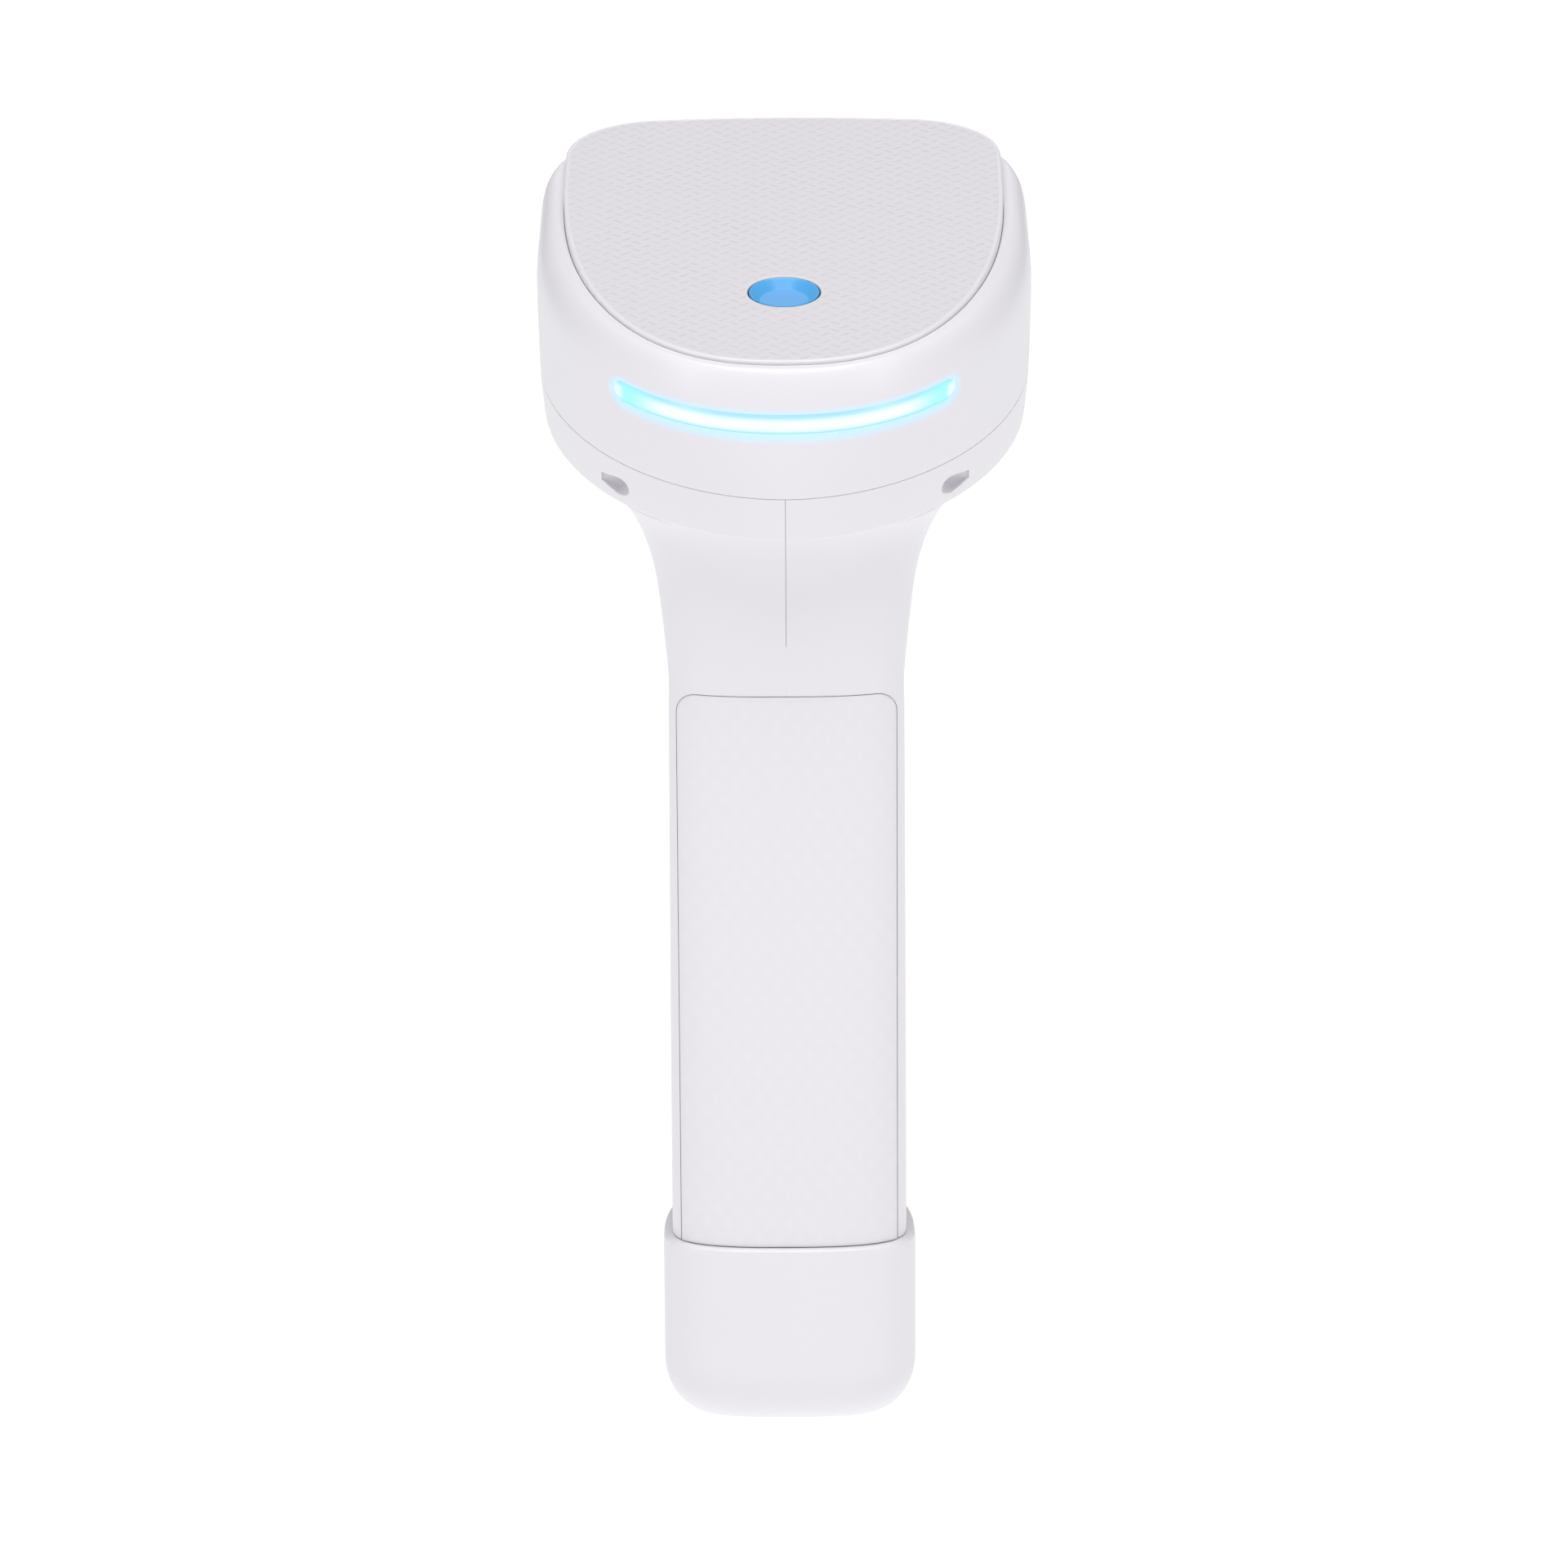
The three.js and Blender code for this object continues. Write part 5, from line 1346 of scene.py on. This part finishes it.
def shell_cutters(side):
    """The trigger's opening and the screw holes, as temporary solids."""
    foot_y, foot_z, top_z = trigger_place()
    half = SIZES.grip.trigger_half_width + 0.5
    opening = box_cutter((-half, foot_y - 4, foot_z - 1.3), (half, 80.0, top_z + 0.8), 2.2)
    cutters = [cutter_object(opening, "trigger_opening_cut")]
    for x, u in COVER_SCREWS:
        hole = bar_cutter(SCREW_HOLE, (side * x, u, -30.0), (side * x, u, -22.9))
        bmesh.ops.transform(hole, matrix=head_matrix(), verts=hole.verts[:])
        cutters.append(cutter_object(hole, "cover_screw_cut"))
    if side < 0:
        for place in shell_screw_places():
            hole = bar_cutter(SCREW_HOLE, (-40.0, place.y, place.z), (WELL_HOLE_END, place.y, place.z))
            cutters.append(cutter_object(hole, "shell_screw_cut"))
    return cutters


# ---- Grip panel ----

PANEL_PLAY = 0.09
PANEL_ROUND = 0.62
PANEL_BEAD = 0.07
BEAD_WIDTH = 0.9


def make_grip_panel():
    """The grip panel: a thin skin with a soft bead inside its rounded edge."""
    h, g = SIZES.head, SIZES.grip
    half, top, corner = panel_outline(PANEL_PLAY)
    low = g.foot_height + 0.1
    edge = [PANEL_ROUND, 0.34, 0.17, 0.06, 0.0]
    marks = steps(0.0, half - corner, 14) + [half - corner * s for s in (0.75, 0.5)]
    marks += [half - 0.95] + [half - e for e in edge]
    heights = [low + e for e in edge[::-1]] + steps(low + 2.5, top - corner, 24)
    heights += [top - corner * s for s in (0.75, 0.5)] + [top - 0.95] + [top - e for e in edge]

    def lift(x, z):
        """How far the skin stands out: most on the bead, and rounded down at the edge."""
        inside = min(half - x, z - low if z - low < 2 else 9.0, top - z)
        if inside > PANEL_ROUND:
            bead = max(0.0, 1 - (inside - PANEL_ROUND) / BEAD_WIDTH)
            return g.panel_proud - PANEL_BEAD + PANEL_BEAD * bead
        return g.panel_proud - 0.34 * (1 - math.sqrt(max(0.0, 1 - (1 - inside / PANEL_ROUND) ** 2)))

    bm = bmesh.new()

    def place(i, j):
        x, z = marks[i], heights[j]
        rise = lift(x, z)
        x, z = round_corner(x, z, half - corner, top - corner, corner, 0.4)
        section = grip_section(z, 0.0)
        _, d = grip_station(section, (BACK, x))
        return Vector((x, g.widest + d - rise * slant_gain(section, x), z))

    placed_grid(bm, len(marks), len(heights), place)
    mirror_half(bm)
    bmesh.ops.recalc_face_normals(bm, faces=bm.faces[:])
    middle = min(bm.faces, key=lambda f: abs(f.calc_center_median().x))
    if middle.normal.y > 0:
        bmesh.ops.reverse_faces(bm, faces=bm.faces[:])
    grown = bmesh.ops.extrude_face_region(bm, geom=bm.faces[:], use_keep_orig=True)["geom"]
    inner = [e for e in grown if isinstance(e, bmesh.types.BMVert)]
    bmesh.ops.translate(bm, verts=inner, vec=(0, g.panel_thickness - h.gap, 0))
    panel = finish_piece(
        bm, "grip_panel_moulding", "housing", ["grip_panel"], finish_for("panel")
    )
    even_shading(panel)
    return panel


# ---- Foot of the battery pack ----


FOOT_LIP = 0.6
SEAL_RISE = 3.3
SEAL_HALF_HEIGHT = 1.2
COLLAR_RISE = 6.0
COLLAR_WALL = 1.8
CHARGE_PAD = (5.0, 7.0)
CHARGE_PAD_HOLE = 2.2


def foot_rows(h, g):
    """Rows of the foot as (height, inset): up the outside, over the collar and down the inside."""
    step = g.foot_step
    rows = []
    for lean in steps(0.0, math.pi / 2, 18):
        left = math.cos(lean)
        inset = g.foot_corner * (1 - math.sqrt(1 - left * left)) - step
        rows.append((g.foot_corner_height * (1 - left), inset))
    rows += [(z, -step) for z in steps(g.foot_corner_height + 1.5, g.foot_height - 1.0, 8)]
    for lean in steps(0.0, math.pi / 2, 5)[1:]:
        z = g.foot_height - FOOT_LIP + FOOT_LIP * math.sin(lean)
        rows.append((z, -step + FOOT_LIP * (1 - math.cos(lean))))
    collar = h.wall + 0.4
    seal = g.foot_height + SEAL_RISE
    top = g.foot_height + COLLAR_RISE
    shelf = g.foot_height - h.wall
    rows += [(g.foot_height, collar), (seal - SEAL_HALF_HEIGHT, collar)]
    rows += [(seal - SEAL_HALF_HEIGHT, collar + 0.7), (seal + SEAL_HALF_HEIGHT, collar + 0.7)]
    rows += [(seal + SEAL_HALF_HEIGHT, collar), (g.foot_height + 5.7, collar)]
    rows += [(top, collar + 0.3), (top, collar + COLLAR_WALL)]
    rows += [(shelf, collar + COLLAR_WALL), (shelf, h.wall - step)]
    return rows + [(12.0, h.wall - step), (8.0, h.wall + 0.8 - step), (4.5, h.wall + 3 - step)]


def make_foot():
    """The battery pack's foot: a hollow cup with the collar that plugs into the handle."""
    h, g = SIZES.head, SIZES.grip
    rows = foot_rows(h, g)
    stations = [(SWEEP, 0.0, i / 24) for i in range(24)]
    stations += [(FINGER, i / 36) for i in range(36)] + [(FINGER, 1.0)]
    bm = bmesh.new()

    def place(i, j):
        z, inset = rows[j]
        section = (g.half_width - inset, g.back - inset, g.front - inset, HANDLE_SQUARENESS)
        x, d = grip_station(section, stations[i])
        return Vector((x if i < len(stations) - 1 else 0.0, g.widest + d, z))

    placed_grid(bm, len(stations), len(rows), place)
    mirror_half(bm)
    for rim in open_rims(bm):
        bmesh.ops.contextual_create(bm, geom=rim)
    foot = finish_piece(
        bm, "foot_moulding", "battery_pack", ["pack_foot"], finish_for("shell")
    )
    x, y = CHARGE_PAD
    holes = [bar_cutter(CHARGE_PAD_HOLE, (side * x, y, -1.0), (side * x, y, 1.5)) for side in (-1, 1)]
    cut_out(foot, [cutter_object(hole, "charge_pad_cut") for hole in holes])
    even_shading(foot)
    return foot


# ---- Trigger ----

TRIGGER_PIVOT_RISE = 25.6
TRIGGER_BELOW_PIVOT = 27.0
TRIGGER_ABOVE_PIVOT = 4.4
TRIGGER_PROUD = 4.2
TRIGGER_DEPTH = 10.5
TRIGGER_EDGE = 0.9
PIN_BORE = 1.26


def trigger_place():
    """Where the trigger sits: y of its back and z of its foot and its top."""
    g = SIZES.grip
    pivot = g.end + TRIGGER_PIVOT_RISE
    back = g.widest + g.front + TRIGGER_PROUD - TRIGGER_DEPTH
    return back, pivot - TRIGGER_BELOW_PIVOT, pivot + TRIGGER_ABOVE_PIVOT


def curve_points(start, control, end, count=7):
    """Points along a soft corner from start to end, drawn towards control."""
    points = []
    for t in steps(0.0, 1.0, count):
        a, b, c = (1 - t) ** 2, 2 * t * (1 - t), t * t
        points.append(tuple(a * s + b * m + c * e for s, m, e in zip(start, control, end)))
    return points


def trigger_side_view():
    """The trigger's side view as (y, z) points."""
    foot_y, foot_z, top_z = trigger_place()
    tall = top_z - foot_z

    def back(depth, rise):
        return foot_y + 0.1 * rise + depth, foot_z + rise

    def face(depth, rise):
        return foot_y + TRIGGER_DEPTH + 0.26 * rise - depth, foot_z + rise

    outline = curve_points(back(0, 4.5), back(0, 0), back(4, 0))
    outline += curve_points(face(3.5, 0), face(0, 0), face(0, 4.5))
    outline += curve_points(face(0.2, 5.2), face(3.8, tall * 0.55), face(0.9, tall - 3.5), 12)
    outline += curve_points(face(0.85, tall - 3.2), face(0.4, tall), face(4.4, tall))
    outline += curve_points(back(3.6, tall), back(0, tall), back(0, tall - 3.2))
    return outline


def make_trigger():
    """The trigger: its side view drawn out across the handle, its edges rounded, bored for the pin."""
    g = SIZES.grip
    bm = bmesh.new()
    verts = [bm.verts.new((-g.trigger_half_width, y, z)) for y, z in trigger_side_view()]
    side = bm.faces.new(verts)
    grown = bmesh.ops.extrude_face_region(bm, geom=[side], use_keep_orig=True)["geom"]
    moved = [v for v in grown if isinstance(v, bmesh.types.BMVert)]
    bmesh.ops.translate(bm, verts=moved, vec=(2 * g.trigger_half_width, 0, 0))
    bmesh.ops.recalc_face_normals(bm, faces=bm.faces[:])
    rounded = [e for e in bm.edges if abs(e.verts[0].co.x - e.verts[1].co.x) < 1e-6]
    bmesh.ops.bevel(
        bm,
        geom=rounded,
        offset=TRIGGER_EDGE,
        segments=5,
        profile=0.5,
        affect="EDGES",
        material=-1,
        clamp_overlap=True,
    )
    trigger = finish_piece(
        bm, "trigger_moulding", "trigger", ["trigger"], finish_for("trigger")
    )
    low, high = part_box("trigger_pin")
    middle = (low + high) * 500
    bore = bar_cutter(PIN_BORE, (-30.0, middle.y, middle.z), (30.0, middle.y, middle.z))
    cut_out(trigger, [cutter_object(bore, "pin_bore_cut")])
    even_shading(trigger)
    return trigger


# ---- Carried-over pieces ----

CARRIED = {
    "dark": "window_bezel trigger_switch trigger_switch_plunger imager_housing beeper button_switch"
    " button_switch_plunger battery_carrier pack_contact_block",
    "window": "scan_window",
    "steel": "trigger_pin trigger_spring shield_can vibration_motor cover_screw_rear_left"
    " cover_screw_rear_right cover_screw_front_left cover_screw_front_right shell_screw_lower"
    " shell_screw_upper",
    "gold": "pack_pad_left pack_pad_right contact_pin_left contact_pin_right charge_pad_left"
    " charge_pad_right",
    "board": "trigger_board main_board light_bar_board imager_board",
    "led": "light_bar_led_1 light_bar_led_2 light_bar_led_3 light_bar_led_4 light_bar_led_5"
    " aimer_led illumination_led_left illumination_led_right",
    "lens": "imager_lens",
    "ceramic": "radio_antenna",
    "cell": "battery_cell",
    "rubber": "pack_seal",
    "shell": "head_top_cover left_shell right_shell pack_foot",
    "plate": "top_grip_plate",
    "panel": "grip_panel",
    "button": "function_button",
    "bar": "light_bar_lens",
    "trigger": "trigger",
}


def coat_carried_pieces():
    """Gives every node of the frame its material."""
    for kind, names in CARRIED.items():
        for name in names.split():
            coat_node(name, kind)


# ---- Stage ----

PACK_TRAVEL = 0.09
LIT_POINT = Vector((0, 0, 0.1))
CAMERA_TARGET = Vector((0.0, -0.0171, 0.0964))
CAMERA_DISTANCE = 0.8075
CAMERA_RISE = math.radians(13.4)
CAMERA_ROLL = math.radians(-0.33)


def paper(name, colour):
    """Matt white paper sweep, lit evenly so that it stays clean and bright."""
    material, tree, shader, place = new_surface(name, 0.9)
    fibre = node(tree, "ShaderNodeTexNoise", {"Vector": place, "Scale": 1 / 0.05, "Detail": 2.0})
    base = shade(tree, fibre.outputs["Fac"], rgba(colour, 0.14), rgba(colour, 0.15))
    tree.links.new(base, shader.inputs["Base Color"])
    shader.inputs["Emission Color"].default_value = rgba(colour)
    shader.inputs["Emission Strength"].default_value = 0.985
    return material


def soft_light(name, place, size, power):
    """A large soft lamp that faces the scanner."""
    light = bpy.data.lights.new(name, "AREA")
    light.shape = "RECTANGLE"
    light.size, light.size_y = size
    light.energy = power
    lamp = bpy.data.objects.new(name, light)
    lamp.location = place
    lamp.rotation_euler = (LIT_POINT - Vector(place)).to_track_quat("-Z", "Y").to_euler()
    bpy.context.scene.collection.objects.link(lamp)
    return lamp


def make_stage():
    """Paper floor, lights and camera; the floor leaves room for the pack to be drawn out over it."""
    colours = bpy.context.scene.scanner_finish
    bm = bmesh.new()
    below = Matrix.Translation((0, 0, -PACK_TRAVEL - 0.002))
    bmesh.ops.create_circle(bm, cap_ends=True, segments=64, radius=6.0, matrix=below)
    mesh = bpy.data.meshes.new("paper_floor")
    bm.to_mesh(mesh)
    bm.free()
    floor = bpy.data.objects.new("paper_floor", mesh)
    bpy.context.scene.collection.objects.link(floor)
    floor.data.materials.append(paper("white_paper", colours.floor))
    world = bpy.data.worlds.new("studio")
    world.use_nodes = True
    background = world.node_tree.nodes["Background"]
    background.inputs["Color"].default_value = (1.0, 1.0, 1.0, 1.0)
    background.inputs["Strength"].default_value = 0.25
    bpy.context.scene.world = world
    bpy.context.scene.view_settings.view_transform = "Standard"
    soft_light("top_softbox", (0.0, -0.35, 1.2), (1.0, 0.8), 10.0)
    soft_light("left_softbox", (-1.0, -0.7, 0.45), (0.4, 1.2), 3.5)
    soft_light("right_softbox", (1.0, -0.7, 0.45), (0.4, 1.2), 3.5)
    camera = bpy.data.cameras.new("camera")
    camera.lens = 131.25
    camera.sensor_width = 36.0
    camera.shift_x = -0.0019
    camera.clip_start = 0.05
    eye = bpy.data.objects.new("camera", camera)
    away = Vector((0.0, -math.cos(CAMERA_RISE), math.sin(CAMERA_RISE)))
    eye.location = CAMERA_TARGET + CAMERA_DISTANCE * away
    look = (CAMERA_TARGET - eye.location).to_track_quat("-Z", "Y").to_matrix()
    eye.rotation_euler = (look @ Matrix.Rotation(CAMERA_ROLL, 3, "Z")).to_euler()
    bpy.context.scene.collection.objects.link(eye)
    bpy.context.scene.camera = eye


# ---- Operators, panel and registration ----


class SCANNER_OT_head_cover(bpy.types.Operator):
    """Model the head's cover with its light bar slot"""

    bl_idname = "scanner.head_cover"
    bl_label = "Head cover"

    def execute(self, context):
        read_sizes(context)
        make_head_cover()
        return {"FINISHED"}


class SCANNER_OT_top_plate(bpy.types.Operator):
    """Model the textured top plate"""

    bl_idname = "scanner.top_plate"
    bl_label = "Top plate"

    def execute(self, context):
        read_sizes(context)
        make_top_plate()
        return {"FINISHED"}


class SCANNER_OT_button(bpy.types.Operator):
    """Model the blue function button"""

    bl_idname = "scanner.button"
    bl_label = "Function button"

    def execute(self, context):
        read_sizes(context)
        make_button()
        return {"FINISHED"}


class SCANNER_OT_light_bar(bpy.types.Operator):
    """Model the lit bar across the back of the head"""

    bl_idname = "scanner.light_bar"
    bl_label = "Light bar"

    def execute(self, context):
        read_sizes(context)
        make_light_bar()
        return {"FINISHED"}


class SCANNER_OT_shells(bpy.types.Operator):
    """Model the left and right shells of the handle and lower head"""

    bl_idname = "scanner.shells"
    bl_label = "Left and right shells"

    def execute(self, context):
        read_sizes(context)
        make_shell(-1)
        make_shell(1)
        return {"FINISHED"}


class SCANNER_OT_grip_panel(bpy.types.Operator):
    """Model the grip panel on the palm side"""

    bl_idname = "scanner.grip_panel"
    bl_label = "Grip panel"

    def execute(self, context):
        read_sizes(context)
        make_grip_panel()
        return {"FINISHED"}


class SCANNER_OT_foot(bpy.types.Operator):
    """Model the battery pack's foot"""

    bl_idname = "scanner.foot"
    bl_label = "Foot"

    def execute(self, context):
        read_sizes(context)
        make_foot()
        return {"FINISHED"}


class SCANNER_OT_trigger(bpy.types.Operator):
    """Model the trigger"""

    bl_idname = "scanner.trigger"
    bl_label = "Trigger"

    def execute(self, context):
        read_sizes(context)
        make_trigger()
        return {"FINISHED"}


class SCANNER_OT_finishes(bpy.types.Operator):
    """Give the pieces carried over from the frame their materials"""

    bl_idname = "scanner.finishes"
    bl_label = "Carried-over finishes"

    def execute(self, context):
        read_sizes(context)
        coat_carried_pieces()
        return {"FINISHED"}


class SCANNER_OT_stage(bpy.types.Operator):
    """Add the paper floor, the soft lights and the camera"""

    bl_idname = "scanner.stage"
    bl_label = "Stage"

    def execute(self, context):
        read_sizes(context)
        make_stage()
        return {"FINISHED"}


PIECES = (
    SCANNER_OT_finishes,
    SCANNER_OT_head_cover,
    SCANNER_OT_top_plate,
    SCANNER_OT_button,
    SCANNER_OT_light_bar,
    SCANNER_OT_shells,
    SCANNER_OT_grip_panel,
    SCANNER_OT_foot,
    SCANNER_OT_trigger,
    SCANNER_OT_stage,
)


class SCANNER_PT_pieces(bpy.types.Panel):
    """Sizes, colours and pieces of the scanner"""

    bl_label = "Barcode scanner"
    bl_idname = "SCANNER_PT_pieces"
    bl_space_type = "VIEW_3D"
    bl_region_type = "UI"
    bl_category = "Scanner"

    def draw(self, context):
        for name, group in GROUPS.items():
            box = self.layout.box()
            for key in group.__annotations__:
                box.prop(getattr(context.scene, name), key)
        for piece in PIECES:
            self.layout.operator(piece.bl_idname)


GROUPS = {
    "scanner_head": ScannerHeadSizes,
    "scanner_handle": ScannerHandleSizes,
    "scanner_finish": ScannerFinish,
}


def register():
    """Adds the sizes, the operators and the panel to Blender."""
    for group in GROUPS.values():
        bpy.utils.register_class(group)
    for key, group in GROUPS.items():
        setattr(bpy.types.Scene, key, PointerProperty(type=group))
    for piece in (*PIECES, SCANNER_PT_pieces):
        bpy.utils.register_class(piece)


def unregister():
    """Takes them away again, in the opposite order."""
    for piece in (SCANNER_PT_pieces, *reversed(PIECES)):
        bpy.utils.unregister_class(piece)
    for key, group in reversed(GROUPS.items()):
        delattr(bpy.types.Scene, key)
        bpy.utils.unregister_class(group)


def main():
    """Builds the whole scanner."""
    register()
    bpy.ops.scanner.finishes()
    bpy.ops.scanner.head_cover()
    bpy.ops.scanner.top_plate()
    bpy.ops.scanner.button()
    bpy.ops.scanner.light_bar()
    bpy.ops.scanner.shells()
    bpy.ops.scanner.grip_panel()
    bpy.ops.scanner.foot()
    bpy.ops.scanner.trigger()
    bpy.ops.scanner.stage()


if __name__ == "__main__":
    main()
